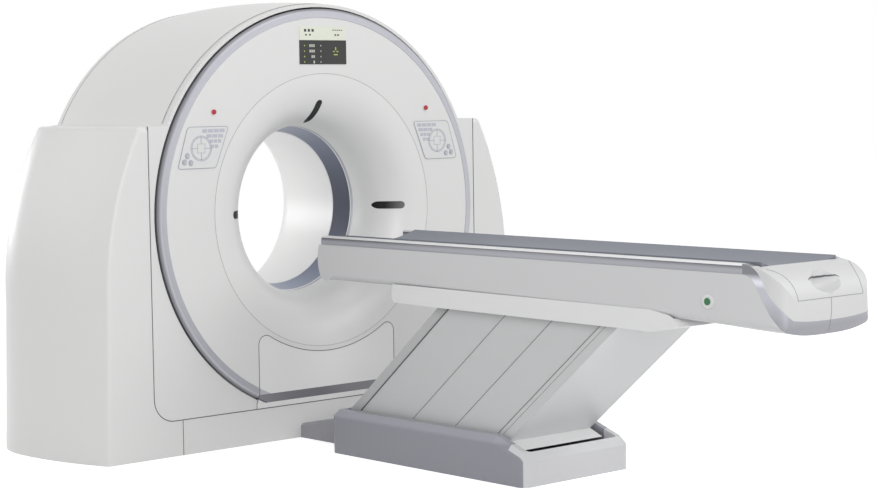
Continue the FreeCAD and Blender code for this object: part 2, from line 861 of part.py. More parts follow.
def build_bore_lining():
    """The funnel, trim, window and rear funnel, end to end along the bore."""
    gap = s.joint_gap
    wall = s.wall

    window = bore_body("scan_window")
    revolved(window, [
        (s.window_start, s.funnel_throat), (s.window_end, s.bore_throat),
        (s.window_end, s.bore_throat + wall), (s.window_start, s.funnel_throat + wall)])
    keep(window, "scan_window")
    ring_piece("window_trim", s.funnel_throat, s.funnel_throat + wall, s.trim_start, s.window_start - gap)

    rear = bore_body("rear_funnel")
    back = s.gantry_length
    end = s.flare_start_radius + s.flare_radius - gap
    lip = s.flare_radius
    revolved(rear, [
        (s.window_end + gap, s.bore_throat), (s.flare_start, s.flare_start_radius, lip, 1),
        (back, end), (back - wall, end, lip + wall, -1),
        (s.flare_start, s.flare_start_radius + wall), (s.window_end + gap, s.bore_throat + wall)])
    keep(rear, "rear_funnel")


def funnel_moulding(label):
    """The funnel: flat at its mouth, a quarter-round lip, then a straight throat."""
    body = bore_body(label)
    wall = s.wall
    face = -s.face_stand
    lip_radius = s.funnel_throat + s.funnel_round
    lip_end = s.funnel_round - s.face_stand
    throat = s.funnel_throat
    revolved(body, [
        (face, s.funnel_mouth), (face, lip_radius, s.funnel_round, 1), (lip_end, throat),
        (s.trim_start - s.joint_gap, throat), (s.trim_start - s.joint_gap, throat + wall),
        (lip_end, throat + wall, s.funnel_round - wall, -1), (face + wall, lip_radius),
        (face + wall, s.funnel_mouth)])
    return body


def slot_prisms(label, margin):
    """Three round-ended radial slots at the top and the sides of the bore, as one cutting tool."""
    body = bore_body(label)
    half = s.slot_half + margin
    inner = s.slot_inner - margin
    outer = s.slot_outer + margin
    reach = s.funnel_round
    front = -s.face_stand - 10.0
    slab(body, "XZ", front, reach, [
        (-half, inner + half, half, 1), (0.0, inner, half, 1), (half, inner + half),
        (half, outer - half, half, 1), (0.0, outer, half, 1), (-half, outer - half)])
    for side in (-1, 1):
        slab(body, "XZ", front, reach, [
            (side * (inner + half), half, half, side), (side * inner, 0.0, half, side),
            (side * (inner + half), -half), (side * (outer - half), -half, half, side),
            (side * outer, 0.0, half, side), (side * (outer - half), half)])
    return body


def build_bore_funnel():
    """The funnel with its laser slots, and the dark windows that fill them."""
    slots = slot_prisms("slot_tool", s.joint_gap)
    keep(cut("bore_funnel", funnel_moulding("funnel_blank"), slots), "bore_funnel")
    windows = common("laser_windows", funnel_moulding("window_blank"), slot_prisms("window_tool", 0.0))
    keep(windows, "laser_windows")


def door_top():
    """The rounded corner of the door's top: its centre and where it runs into the concave arc."""
    across = s.door_half - s.door_corner
    reach = s.door_top_radius + s.door_corner
    height = -side_of(reach, across)
    share = s.door_top_radius / reach
    return height, across * share, height * share


def build_front_cover():
    """The flat ring-shaped front panel round the funnel, cut away for the service door."""
    body = bore_body("front_cover")
    gap = s.joint_gap
    face = -s.face_stand
    outer = s.ring_inner - gap
    revolved(body, [
        (face, s.funnel_mouth + gap), (face, outer - s.seam_chamfer), (face + s.seam_chamfer, outer),
        (s.wall, outer), (s.wall, outer - s.wall), (face + s.wall, outer - s.wall),
        (face + s.wall, s.funnel_mouth + gap)])
    half = s.door_half + gap
    height, across, rise = door_top()
    radius = s.door_top_radius - gap
    share = radius / s.door_top_radius
    bottom = -s.ring_outer
    opening(body, "XZ", face - 1.0, s.wall + 1.0, [
        (-half, bottom), (half, bottom), (half, height, s.door_corner + gap, 1),
        (across * share, rise * share, radius, -1), (-across * share, rise * share,
                                                     s.door_corner + gap, 1), (-half, height)])
    for x, z in key_places():
        opening(body, "XZ", face - 1.0, face + s.wall + 1.0, round_at(x, z, stem_radius() + s.running_gap))
    for side in (-1, 1):
        opening(body, "XZ", face - 1.0, face + s.wall + 1.0, round_at(
            side * s.stop_across, s.stop_height - s.bore_height, s.stop_radius / 2 + s.running_gap))
    return keep(body, "front_cover")


def build_service_door():
    """The door below the bore: a flat face, the dark slanted chord band and the lower strip."""
    body = bore_body("service_door")
    half = s.door_half
    face = -s.face_stand
    wall = s.wall
    low = s.kick_height - s.bore_height
    chord_low = s.chord_low - s.bore_height
    chord_high = s.chord_high - s.bore_height
    height, across, rise = door_top()
    top = -s.door_top_radius * 0.8
    slab(body, "YZ", -half, half, [
        (0.0, low), (0.0, chord_low), (face, chord_high), (face, top), (face + wall, top),
        (face + wall, chord_high + 2.0), (wall, chord_low + 2.0), (wall, low)])
    beyond = half + 1.0
    opening(body, "XZ", face - 1.0, wall + 1.0, [
        (-beyond, height), (-half, height, s.door_corner, -1), (-across, rise, s.door_top_radius, 1),
        (across, rise, s.door_corner, -1), (half, height), (beyond, height), (beyond, 0.0),
        (-beyond, 0.0)])
    return keep(body, "service_door")


def build_front_ring():
    """The trim ring round the front cover, open where the service door crosses it."""
    body = bore_body("front_ring")
    face = -s.face_stand
    outer = s.ring_outer
    wall = s.wall
    revolved(body, [
        (face, s.ring_inner), (face, outer - s.ring_bevel), (face + s.ring_bevel, outer),
        (s.ring_depth, outer), (s.ring_depth, outer - wall),
        (face + s.ring_bevel + 2.0, outer - wall), (face + wall, outer - s.ring_bevel - 2.0),
        (face + wall, s.ring_inner)])
    half = s.door_half + s.joint_gap
    opening(body, "XZ", face - 1.0, s.ring_depth + 1.0, box_loop(-half, -outer - 1.0, half, -outer * 0.7))
    return keep(body, "front_ring")


# ---- gantry: display, panels and buttons ----------------------------------------------------

def rounded_box(left, low, right, high, radius):
    """A rectangle with round corners, anticlockwise."""
    return [
        (left + radius, low), (right - radius, low, radius, 1), (right, low + radius),
        (right, high - radius, radius, 1), (right - radius, high), (left + radius, high, radius, 1),
        (left, high - radius), (left, low + radius, radius, 1)]


def build_display():
    """A display above the bore: a screen in its rimmed plate, with a plain header over it."""
    face = -s.face_stand
    low = s.display_low - s.bore_height
    high = s.display_high - s.bore_height
    header_high = s.header_high - s.bore_height
    half = s.display_half
    rim = s.display_rim
    bezel = bore_body("display_bezel")
    slab(bezel, "XZ", face - s.plate_stand, face, box_loop(-half, low, half, high),
         box_loop(-half + rim, low + rim, half - rim, high - rim))
    slab(bezel, "XZ", face - s.plate_stand, face, rounded_box(-half, high, half, header_high, 6.0))
    keep(bezel, "display_bezel")
    screen = bore_body("display_screen")
    gap = rim + s.joint_gap
    slab(screen, "XZ", face - s.plate_stand + 1.0, face,
         box_loop(-half + gap, low + gap, half - gap, high - gap))
    keep(screen, "display_screen")


def stem_radius():
    return s.key_radius / 2


def key_places():
    """Where the three round keys of each panel sit, from the dial."""
    places = []
    for side in (-1, 1):
        for across, down in ((73.0, 30.0), (88.0, 56.0), (55.0, 60.0)):
            places.append((side * (s.dial_across + across), s.dial_height - down - s.bore_height))
    return places


def panel_outline(side):
    """A control panel's outline: square at the top, its sides slanting in and out below."""
    top = s.panel_top - s.bore_height
    low = s.panel_low - s.bore_height
    return [
        (side * (s.panel_in + 88.0), low), (side * (s.panel_out + 42.0), low),
        (side * (s.panel_out + 56.0), low + 16.0), (side * (s.panel_out + 14.0), top - 40.0),
        (side * (s.panel_out + 4.0), top - 8.0), (side * (s.panel_out - 8.0), top),
        (side * (s.panel_in + 6.0), top), (side * (s.panel_in - 12.0), top - 10.0),
        (side * (s.panel_in - 14.0), top - 20.0)]


def build_control_panels():
    """A mirrored pair of touch panels: a plate, a dial ring, a block of flat keys and round keys."""
    face = -s.face_stand
    front = face - s.plate_stand
    holes = key_places()
    for side, name in ((-1, "left"), (1, "right")):
        mine = [place for place in holes if place[0].value * side > 0]
        panel = bore_body("control_panel_" + name)
        slab(panel, "XZ", front, face, panel_outline(side),
             *[round_at(x, z, stem_radius() + s.running_gap) for x, z in mine])
        for row, count in enumerate((4, 3, 2)):
            for column in range(count):
                left = side * (s.panel_in + 16.0 + 22.0 * (column + row * 0.5))
                right = left + side * 17.0
                high = s.panel_top - s.bore_height - 14.0 - 20.0 * row
                slab(panel, "XZ", front - 1.0, front + 0.5, box_loop(left, high - 14.0, right, high))
        x = side * s.dial_across
        z = s.dial_height - s.bore_height
        slab(panel, "XZ", front - 1.5, front + 0.5, round_at(x, z, s.dial_radius),
             round_at(x, z, s.dial_radius - 8.0))
        slab(panel, "XZ", front - 1.0, front + 0.5, box_loop(x - 26.0, z - 17.0, x + 26.0, z + 18.0))
        keep(panel, "control_panel_" + name)

        for number, (x, z) in enumerate(mine, start=1):
            key = bore_body("round_key_%s_%d" % (name, number))
            slab(key, "XZ", front - s.key_stand, front - s.key_stand / 2, round_at(x, z, s.key_radius))
            slab(key, "XZ", front - s.key_stand / 2 - 0.5, face + s.wall, round_at(x, z, stem_radius()))
            keep(key, "round_key_%s_%d" % (name, number))


def build_stop_buttons():
    """A red mushroom button on each side of the display, on a stem through the cover."""
    face = -s.face_stand
    for side, name in ((-1, "left"), (1, "right")):
        x = side * s.stop_across
        z = s.stop_height - s.bore_height
        button = bore_body("stop_button_" + name)
        slab(button, "XZ", face - s.stop_stand, face - s.stop_stand / 2, round_at(x, z, s.stop_radius))
        slab(button, "XZ", face - s.stop_stand / 2 - 0.5, face + s.wall + 4.0,
             round_at(x, z, s.stop_radius / 2))
        eased(button, "Fillet", 2.5, lambda e: near(e.BoundBox.YMin, (face - s.stop_stand).value)
              and near(e.BoundBox.YMax, (face - s.stop_stand).value))
        keep(button, "stop_button_" + name)


# ---- table: duct and base -------------------------------------------------------------------

def build_duct():
    """The low cable duct on the floor between the gantry and the table's base."""
    body = body_at("cable_duct")
    near_end = -s.joint_gap
    slab(body, "YZ", -s.duct_half, s.duct_half, [
        (-s.tbase_head + s.joint_gap, 0.0), (near_end, 0.0), (near_end, s.duct_low),
        (-s.duct_knee, s.duct_high), (-s.tbase_head + s.joint_gap, s.duct_high)])
    eased(body, "Chamfer", 12.0, lambda e: e.BoundBox.YLength > 50 and e.BoundBox.ZMin > 30
          and near(abs(e.BoundBox.XMin), s.duct_half.value))
    return keep(body, "cable_duct")


def base_outline(inset, top_inset):
    """The base cover's side outline in the machine's long plane."""
    slope = (s.tbase_high - s.tbase_foot_high) / (s.tbase_foot - s.tbase_slope_start)
    foot = -s.tbase_foot + inset
    return [
        (foot, 0.0), (-s.tbase_head - inset, 0.0), (-s.tbase_head - inset, s.tbase_high - top_inset),
        (-s.tbase_slope_start, s.tbase_high - top_inset),
        (foot, s.tbase_foot_high - top_inset + slope * inset)]


def build_base_cover():
    """The base's moulded cover: bevelled walls, a flat rim and an open well that the pedestal fills."""
    body = body_at("base_cover")
    half = s.tbase_half
    slab(body, "YZ", -half, half, base_outline(0.0, 0.0))

    def stands(edge):
        return edge.BoundBox.ZLength > 60 and near(edge.BoundBox.XMax - edge.BoundBox.XMin, 0.0)

    eased(body, "Fillet", s.tbase_round, stands)
    top_edges = s.tbase_foot_high.value - 8
    eased(body, "Chamfer", s.tbase_bevel * 0.8, lambda e: e.BoundBox.ZMin > top_edges
          and is_rim_edge(e))
    wall = s.wall
    opening(body, "XY", -1.0, s.cavity_high, rounded_box(
        -half + wall, -s.tbase_foot + wall, half - wall, -s.tbase_head - wall, s.tbase_round - wall))
    inner_half = half - s.tbase_rim - s.tbase_bevel * 0.8
    opening(body, "XY", s.deck_height, s.tbase_high + 1.0, rounded_box(
        -inner_half, -s.tbase_foot + s.well_foot, inner_half, -s.tbase_head - s.well_head, 14.0))
    opening(body, "XY", 0.0, s.deck_height + 1.0, box_loop(
        -inner_half, -s.deck_slot_foot, inner_half, -s.tbase_head - s.well_head))
    return keep(body, "base_cover")


def is_rim_edge(edge):
    """An edge on the outer rim of the base cover's top."""
    box = edge.BoundBox
    middle = edge.valueAt((edge.FirstParameter + edge.LastParameter) / 2)
    flat = box.ZLength < 0.5 * max(box.XLength, box.YLength, 1.0)
    near_side = abs(abs(middle.x) - s.tbase_half.value) < s.tbase_round.value
    near_foot = abs(middle.y + s.tbase_foot.value) < s.tbase_round.value
    near_head = abs(middle.y + s.tbase_head.value) < s.tbase_round.value
    return flat and (near_side or near_foot or near_head)


def cover_pivots():
    """The depths of the covers' lower pivots, all at the pivot height."""
    return [slat_pivot(name, begin, end) for name, begin, end in slat_spans()]


def lean():
    """How far the slanted pieces run towards the foot for each unit that they rise."""
    return cosine(s.lift_angle) / sine(s.lift_angle)


def slat_spans():
    """Each cover of the pedestal with its two edges at the height of the base's rim."""
    return [
        ("head_cover", s.strip_head, s.strip_end),
        ("slat_head", s.strip_end, s.seam_first),
        ("slat_middle", s.seam_first, s.seam_second),
        ("slat_foot", s.seam_second, s.seam_third),
        ("foot_cover", s.seam_third, s.foot_face)]


def slat_pivot(name, begin, end):
    """The depth of a cover's lower pivot, which lies under its middle line."""
    middle = (begin + end) / 2 - lean() * (s.tbase_high - s.pivot_height)
    shifts = {"head_cover": s.head_pivot_shift, "foot_cover": -s.foot_pivot_shift}
    return middle + shifts[name] if name in shifts else middle


def cover_pin_end():
    """How far out the covers' lower pins reach, to the outer face of the outer cheeks."""
    return s.slat_half + s.cover_cheek_gap + s.cover_cheek_thick


def bored_cheeks(body, inner, outer, head, foot, pivots):
    """A pair of upright plates on the floor plate, with a bore for each pin that they carry."""
    low = s.tplate_thick - 1.0
    high = s.pivot_height + s.cheek_over_pivot
    for side in (-1, 1):
        between(body, side * inner, side * outer, [
            (foot, low), (head, low), (head, high), (foot + s.cheek_slant, high),
            (foot, high - s.cheek_slant)])
        first, last = sorted((side * (inner - 1.0), side * (outer + 1.0)), key=lambda size: size.value)
        opening(body, "YZ", first, last, *[
            round_at(-depth, s.pivot_height, s.pin_radius + s.running_gap) for depth in pivots])


def build_table_base():
    """The floor plate with inner cheeks for the arms' pins and outer ones for the covers' pins."""
    body = body_at("table_base")
    inset = s.wall + s.joint_gap
    half = s.tbase_half - inset
    slab(body, "XY", 0.0, s.tplate_thick, rounded_box(
        -half, -s.tbase_foot + inset, half, -s.tbase_head - inset, s.tbase_round - inset))
    holes = [
        round_at(side * (s.tbase_half - s.table_anchor_inset_x), depth, s.table_anchor_hole)
        for side in (-1, 1)
        for depth in (-s.tbase_head - s.table_anchor_inset_y, s.table_anchor_inset_y - s.tbase_foot)]
    opening(body, "XY", -1.0, s.tplate_thick + 1.0, *holes)
    bored_cheeks(body, s.cheek_across - s.cheek_thick / 2, s.cheek_across + s.cheek_thick / 2,
                 -s.main_pivot + s.cheek_reach, -s.second_pivot - s.cheek_reach,
                 [s.main_pivot, s.second_pivot])
    pivots = cover_pivots()
    bored_cheeks(body, s.slat_half + s.cover_cheek_gap, cover_pin_end(),
                 -s.tbase_head - s.well_head - s.cheek_clearance, -pivots[-1] - s.cheek_over_pivot, pivots)
    for side in (-1, 1):
        inner = side * 40.0
        outer = side * 56.0
        low_x, high_x = (inner, outer) if side > 0 else (outer, inner)
        slab(body, "YZ", low_x, high_x, [
            (-s.actuator_pivot - 45.0, s.tplate_thick - 1.0),
            (-s.actuator_pivot + 45.0, s.tplate_thick - 1.0),
            (-s.actuator_pivot + 20.0, s.actuator_height + 22.0),
            (-s.actuator_pivot - 20.0, s.actuator_height + 22.0)])
    opening(body, "YZ", -57.0, 57.0, round_at(-s.actuator_pivot, s.actuator_height,
                                              s.pin_radius + s.running_gap))
    return keep(body, "table_base")


# ---- table: lift ----------------------------------------------------------------------------

def along(pivot, out, up):
    """A point of a slanted piece, from its pivot's depth: out along it, up square to it."""
    depth = -pivot - out * cosine(s.lift_angle) + up * sine(s.lift_angle)
    height = s.pivot_height + out * sine(s.lift_angle) + up * cosine(s.lift_angle)
    return depth, height


def lozenge(pivot, length, half):
    """An arm's outline: parallel sides and round ends about its two pivots."""
    return [
        along(pivot, 0.0, -half) + (half, 1), along(pivot, -half, 0.0) + (half, 1),
        along(pivot, 0.0, half), along(pivot, length, half) + (half, 1),
        along(pivot, length + half, 0.0) + (half, 1), along(pivot, length, -half)]


def arm_piece(name, pivot, across, tube_out):
    """Two plates on cross pins, joined by a tube, that carry the table's saddle."""
    body = body_at(name)
    half = s.arm_half
    for side in (-1, 1):
        low_x, high_x = sorted((side * (across - s.arm_thick / 2), side * (across + s.arm_thick / 2)),
                               key=lambda size: size.value)
        slab(body, "YZ", low_x, high_x, lozenge(pivot, s.arm_length, half))
    reach = s.cheek_across + s.cheek_thick / 2
    for out in (0.0, s.arm_length):
        depth, height = along(pivot, out, 0.0)
        for side in (-1, 1):
            low_x, high_x = sorted((side * (across - s.arm_thick / 2 + 1.0), side * reach),
                                   key=lambda size: size.value)
            slab(body, "YZ", low_x, high_x, round_at(depth, height, s.pin_radius))
    depth, height = along(pivot, tube_out, 0.0)
    slab(body, "YZ", -across, across, round_at(depth, height, 20.0))
    return keep(body, name)


def build_actuator():
    """The screw actuator that pushes the main arm up: its body on a floor pin, its rod's open eye."""
    target_depth, target_height = along(s.main_pivot, s.actuator_reach, 0.0)
    rise = target_height - s.actuator_height
    run = -s.actuator_pivot - target_depth
    length = root(rise * rise + run * run)
    angle = math.degrees(math.atan2(rise.value, run.value))
    tilt = FreeCAD.Rotation(FreeCAD.Vector(1, 0, 0), 90.0 - angle)

    def tilted(name):
        body = body_at(name, y=-s.actuator_pivot, z=s.actuator_height)
        body.Placement = FreeCAD.Placement(body.Placement.Base, tilt)
        return body

    case = tilted("actuator_body")
    slab(case, "YZ", -38.0, 38.0, round_at(0.0, 0.0, 26.0))
    slab(case, "YZ", -58.0, 58.0, round_at(0.0, 0.0, s.pin_radius))
    slab(case, "XY", 20.0, length * 0.62, round_at(0.0, 0.0, s.actuator_radius))
    opening(case, "XY", 60.0, length, round_at(0.0, 0.0, s.rod_radius + s.running_gap))
    keep(case, "actuator_body")

    rod = tilted("actuator_rod")
    eye_inner = 20.0 + s.rod_eye_gap
    slab(rod, "XY", length * 0.5, length - eye_inner - 2.0, round_at(0.0, 0.0, s.rod_radius))
    slab(rod, "YZ", -20.0, 20.0, round_at(0.0, length, eye_inner + 12.0))
    opening(rod, "YZ", -21.0, 21.0, round_at(0.0, length, eye_inner))
    return keep(rod, "actuator_rod")


def slat_level(name):
    """How far in from the widest cover this one lies: each tucks under its neighbour."""
    order = ["foot_cover", "slat_foot", "slat_middle", "slat_head", "head_cover"]
    return s.slat_step * order.index(name)


def run_to(height, up):
    """How far out along the arms' direction a line at this offset reaches a height."""
    rise = height - s.pivot_height - up * cosine(s.lift_angle)
    return rise / sine(s.lift_angle)


def slat_outline(name, pivot, low, high):
    """A cover's side: a lug round its pivot, slanted edges, and level ends in the base and saddle."""
    start = run_to(s.tbase_high - 2.0, high) if name == "head_cover" else as_size(-10.0)
    lug = s.pin_radius * 2.0
    under_rim = s.tbase_high - 34.0
    top = s.saddle_low + 38.0
    return [
        along(pivot, -lug, lug / 2), along(pivot, -lug / 3, -lug), along(pivot, lug, -lug),
        along(pivot, run_to(under_rim, low), low), along(pivot, run_to(top, low), low),
        along(pivot, run_to(top, high), high), along(pivot, start, high)]


def between(body, first, second, outline, kind="YZ"):
    """A slab between two levels given in either order."""
    low_x, high_x = sorted((as_size(first), as_size(second)), key=lambda size: size.value)
    slab(body, kind, low_x, high_x, outline)


def build_slats():
    """The pedestal's covers: a plate on each side, parallel to the arms, each lapping the next."""
    pivots = cover_pivots()
    pin_end = cover_pin_end()
    for number, (name, begin, end) in enumerate(slat_spans()):
        body = body_at(name)
        pivot = pivots[number]
        outer = s.slat_half - slat_level(name)
        inner = outer - s.slat_thick
        centre = (begin + end) / 2 - lean() * (s.tbase_high - s.pivot_height)
        shift = (pivot - centre) * sine(s.lift_angle)
        high = (end - begin) / 2 * sine(s.lift_angle) + shift
        low = (begin - end) / 2 * sine(s.lift_angle) + shift
        if name != "foot_cover":
            low = low - slat_lap(pivots[number + 1] - pivot)
        outline = slat_outline(name, pivot, low, high)
        for side in (-1, 1):
            between(body, side * inner, side * outer, outline)
            between(body, side * (outer - 1.0), side * pin_end,
                    round_at(-pivot, s.pivot_height, s.pin_radius))
        if name in ("head_cover", "foot_cover"):
            slat_face(body, name, pivot, low, high, outer)
        keep(body, name)


def slat_lap(pitch):
    """How far a cover runs in behind the next one, so that no gap opens when the table is raised."""
    raised = s.lift_angle + s.lift_raise
    return pitch * (sine(raised) - sine(s.lift_angle)) + s.slat_cover


def slat_face(body, name, pivot, low, high, outer):
    """The cross wall that makes the first and the last cover a channel."""
    top = s.saddle_low + 38.0
    edge = high - s.slat_thick if name == "head_cover" else low
    begin = s.tbase_high - 2.0 if name == "head_cover" else s.tbase_high - 34.0
    between(body, -outer, outer, [
        along(pivot, run_to(begin, edge), edge),
        along(pivot, run_to(top, edge), edge),
        along(pivot, run_to(top, edge + s.slat_thick), edge + s.slat_thick),
        along(pivot, run_to(begin, edge + s.slat_thick), edge + s.slat_thick)])


# ---- table: saddle and top ------------------------------------------------------------------

def build_saddle():
    """The fairing under the table top that takes the arms' upper pins and hides the covers' ends."""
    body = body_at("saddle")
    half = s.top_half + s.saddle_flare
    low = s.saddle_low
    slab(body, "YZ", -half, half, [
        (-s.saddle_tip, low + 23.0), (-s.saddle_tip + 105.0, low + 2.0, 300.0, 1),
        (-s.saddle_tip + 190.0, low), (-s.saddle_head - 230.0, low + 8.0),
        (-s.saddle_head - 22.0, low + 12.0, 26.0, 1), (-s.saddle_head, low + 38.0),
        (-s.saddle_head, s.saddle_high), (-s.saddle_tip + 140.0, s.saddle_high - 8.0),
        (-s.saddle_tip + 62.0, s.saddle_high - 20.0, 90.0, 1)])
    reach = half + 1.0
    for side in (-1, 1):
        opening(body, "XZ", -s.saddle_tip - 1.0, -s.saddle_head + 1.0, [
            (side * reach, s.saddle_high + 1.0), (side * (s.top_half + s.joint_gap + 3.0), s.saddle_high + 1.0),
            (side * half, low - 1.0), (side * reach, low - 1.0)])
    inner = s.slat_half + 5.0
    opening(body, "XY", low - 1.0, s.saddle_high + 1.0, box_loop(
        -inner, -s.saddle_tip + 90.0, inner, -s.saddle_head - 26.0))
    top_gap = s.joint_gap
    opening(body, "YZ", -s.top_half - top_gap, s.top_half + top_gap, [
        (-s.saddle_tip - 1.0, s.saddle_high + 1.0), (-s.saddle_tip - 1.0, top_underside(s.saddle_tip + 1.0)),
        (-s.saddle_head + 1.0, top_underside(s.saddle_head - 1.0)),
        (-s.saddle_head + 1.0, s.saddle_high + 1.0)])
    return keep(body, "saddle")


def top_underside(depth):
    """The height of the table top's underside at a depth: it falls gently towards the foot."""
    fall = (s.top_low - s.top_foot_low) / (s.top_foot - s.saddle_head)
    return s.top_low - fall * (depth - s.saddle_head)


def tangent_radius(run, rise):
    """The radius of an arc that leaves upright and comes in by run while it rises."""
    return (run * run + rise * rise) / (2.0 * run)


def hull_outline():
    """The table top's side outline, from the underside round the nose and back over the foot cap."""
    foot = s.top_foot
    face = s.cap_face_height
    under = top_underside(s.band_foot)
    upper = tangent_radius(foot - s.cap_crest, s.cap_crest_high - face)
    lower = tangent_radius(foot - s.band_foot, face - under)
    return [
        (-s.band_foot, under), (-s.saddle_head, s.top_low), (-s.nose_under + 14.0, s.top_low, 46.0, 1),
        (-s.nose_tip - 14.0, s.top_low + 22.0, 164.0, 1), (-s.nose_tip - 12.0, s.top_side_high),
        (-s.band_start, s.top_side_high), (-s.band_start, s.rail_high),
        (-s.cap_crest, s.cap_crest_high, upper, 1), (-foot, face, lower, 1)]


def hull_block(label):
    """The whole table top as one block, its lower edges rounded and its foot's corners round in plan."""
    body = body_at(label)
    half = s.top_half
    slab(body, "YZ", -half, half, hull_outline())
    head = -s.nose_tip.value - 30

    def side_edge(edge):
        box = edge.BoundBox
        at_side = near(box.XMin, box.XMax) and near(abs(box.XMin), half.value)
        return at_side and box.ZMax < s.top_low.value + 1 and box.YMin < head and box.YLength > 100

    eased(body, "Fillet", s.side_round, side_edge)
    corner = s.cap_corner
    foot = s.top_foot
    for side in (-1, 1):
        opening(body, "XY", s.top_foot_low - 50.0, s.rail_high + 50.0, [
            (side * (half + 1.0), -foot - 1.0), (side * (half + 1.0), -foot + corner),
            (side * half, -foot + corner, corner, -side), (side * (half - corner), -foot),
            (side * (half - corner), -foot - 1.0)])
    return body


def band_edge(rise):
    """The trim's edge at a distance above its lower one: where it bends down and how it runs on."""
    radius = s.band_bend + rise
    centre_z = s.top_side_high - s.band_bend
    bend_y = -s.band_start - radius * sine(s.band_sweep)
    bend_z = centre_z + radius * cosine(s.band_sweep)
    return radius, bend_y, bend_z


def band_regions():
    """Three prisms that part the table top into its body, the trim band and the foot cap."""
    low_radius, low_y, low_z = band_edge(0.0)
    high_radius, high_y, high_z = band_edge(s.rail_high - s.top_side_high)
    under = top_underside(s.band_foot)
    foot_y = -s.band_foot
    long_arc = 503.0
    far_y = foot_y - 26.0
    far_z = under + 40.0
    reach = s.top_half + 1.0
    start = -s.band_start
    gap = s.joint_gap

    main = body_at("main_region")
    slab(main, "YZ", -reach, reach, [
        (foot_y - 34.0, under - 37.0), (0.0, under - 137.0), (0.0, s.rail_high + 60.0),
        (start + gap, s.rail_high + 60.0), (start + gap, s.top_side_high - gap),
        (start, s.top_side_high - gap, low_radius, 1),
        (low_y, low_z - gap, long_arc, -1), (foot_y, under)])
    band = body_at("band_region")
    slab(band, "YZ", -reach, reach, [
        (start, s.top_side_high, low_radius, 1), (low_y, low_z, long_arc, -1), (foot_y - gap, under),
        (foot_y - 34.0 - gap, under - 37.0), (far_y - 34.0, far_z - 36.0), (far_y, far_z, long_arc - 41.0, 1),
        (high_y, high_z, high_radius, -1), (start, s.rail_high)])
    cap = body_at("cap_region")
    slab(cap, "YZ", -reach, reach, [
        (start, s.rail_high + gap, high_radius + gap, 1), (high_y - gap, high_z, long_arc - 41.0, -1),
        (far_y - gap, far_z), (far_y - 34.0 - gap, far_z - 36.0), (far_y - 134.0, far_z - 36.0),
        (far_y - 134.0, s.rail_high + 60.0), (start, s.rail_high + 60.0)])
    return main, band, cap


def cradle_tool(label):
    """The trough over the deck that the cradle lies in, down to the deck and out to the rails."""
    body = body_at(label)
    deck = s.top_side_high - s.deck_drop
    half = s.deck_half
    slab(body, "YZ", -half, half, [
        (-s.cradle_foot - s.cradle_clearance, deck), (0.0, deck), (0.0, s.cradle_lip + 60.0),
        (-s.cradle_foot - s.cradle_clearance, s.cradle_lip + 60.0)])
    return body


def build_table_top():
    """The hollow body under the rails, the trim band that turns down at its foot, and the foot cap."""
    main, band, cap = band_regions()
    hull = hull_block("table_hull")
    deck = s.top_side_high - s.deck_drop
    skin = s.top_skin
    hollow = body_at("table_hollow")
    inner = s.top_half - skin
    floor = s.top_low + s.side_round - skin
    head = -s.nose_under + 20.0
    foot = -s.band_start + 40.0
    slab(hollow, "YZ", -inner, inner, box_loop(foot, floor, head, deck - s.deck_thick))
    way = body_at("lift_way")
    slot = s.slat_half + 5.0
    slab(way, "XY", s.saddle_low, s.top_low + skin + 20.0, box_loop(
        -slot, -s.saddle_tip + 90.0, slot, -s.saddle_head - 26.0))
    trough = cradle_tool("trough_tool")
    keep(cut("table_body", common("table_main", hull, main), hollow, way, trough), "table_body")
    keep(cut("foot_band", common("band_block", hull, band), trough), "foot_band")
    cup = cup_tool()
    keep(cut("foot_cap", common("cap_block", hull, cap), trough, cup), "foot_cap")


def cup_tool():
    """The hollow under a lip in the foot cap that a hand pulls the table by."""
    ball = doc.addObject("Part::Sphere", "cup_ball")
    bind(ball, "Radius", s.cup_radius)
    face_round = tangent_radius(s.top_foot - s.band_start, s.rail_high - s.cap_face_height)
    share = 0.83
    bind(ball, "Placement.Base.y", -s.top_foot + face_round - face_round * share - s.cup_radius * 0.55
         - s.scan_depth)
    bind(ball, "Placement.Base.z", s.cap_face_height + face_round * 0.557 + s.cup_radius * 0.1)
    below = body_at("cup_below")
    slab(below, "XY", s.cap_face_height - 60.0, s.cup_lip, box_loop(-200.0, -s.top_foot - 200.0, 200.0,
                                                                  -s.band_start))
    return common("cup_hollow", ball, below)


def build_rails():
    """The two trim rails along the top, which the cradle's edges pass between."""
    body = body_at("side_rails")
    low = s.top_side_high
    high = s.rail_high
    for side in (-1, 1):
        outer = side * s.top_half
        inner = side * s.deck_half
        slab(body, "XZ", -s.band_start + s.joint_gap, -s.nose_tip - 26.0, [
            (inner, low), (outer - side * 1.5, low), (outer, low + 6.0), (outer - side * 1.0, low + 20.0),
            (outer - side * 4.0, low + 31.0), (outer - side * 11.0, high), (inner + side * 3.0, high),
            (inner, high - 4.0)])
    return keep(body, "side_rails")


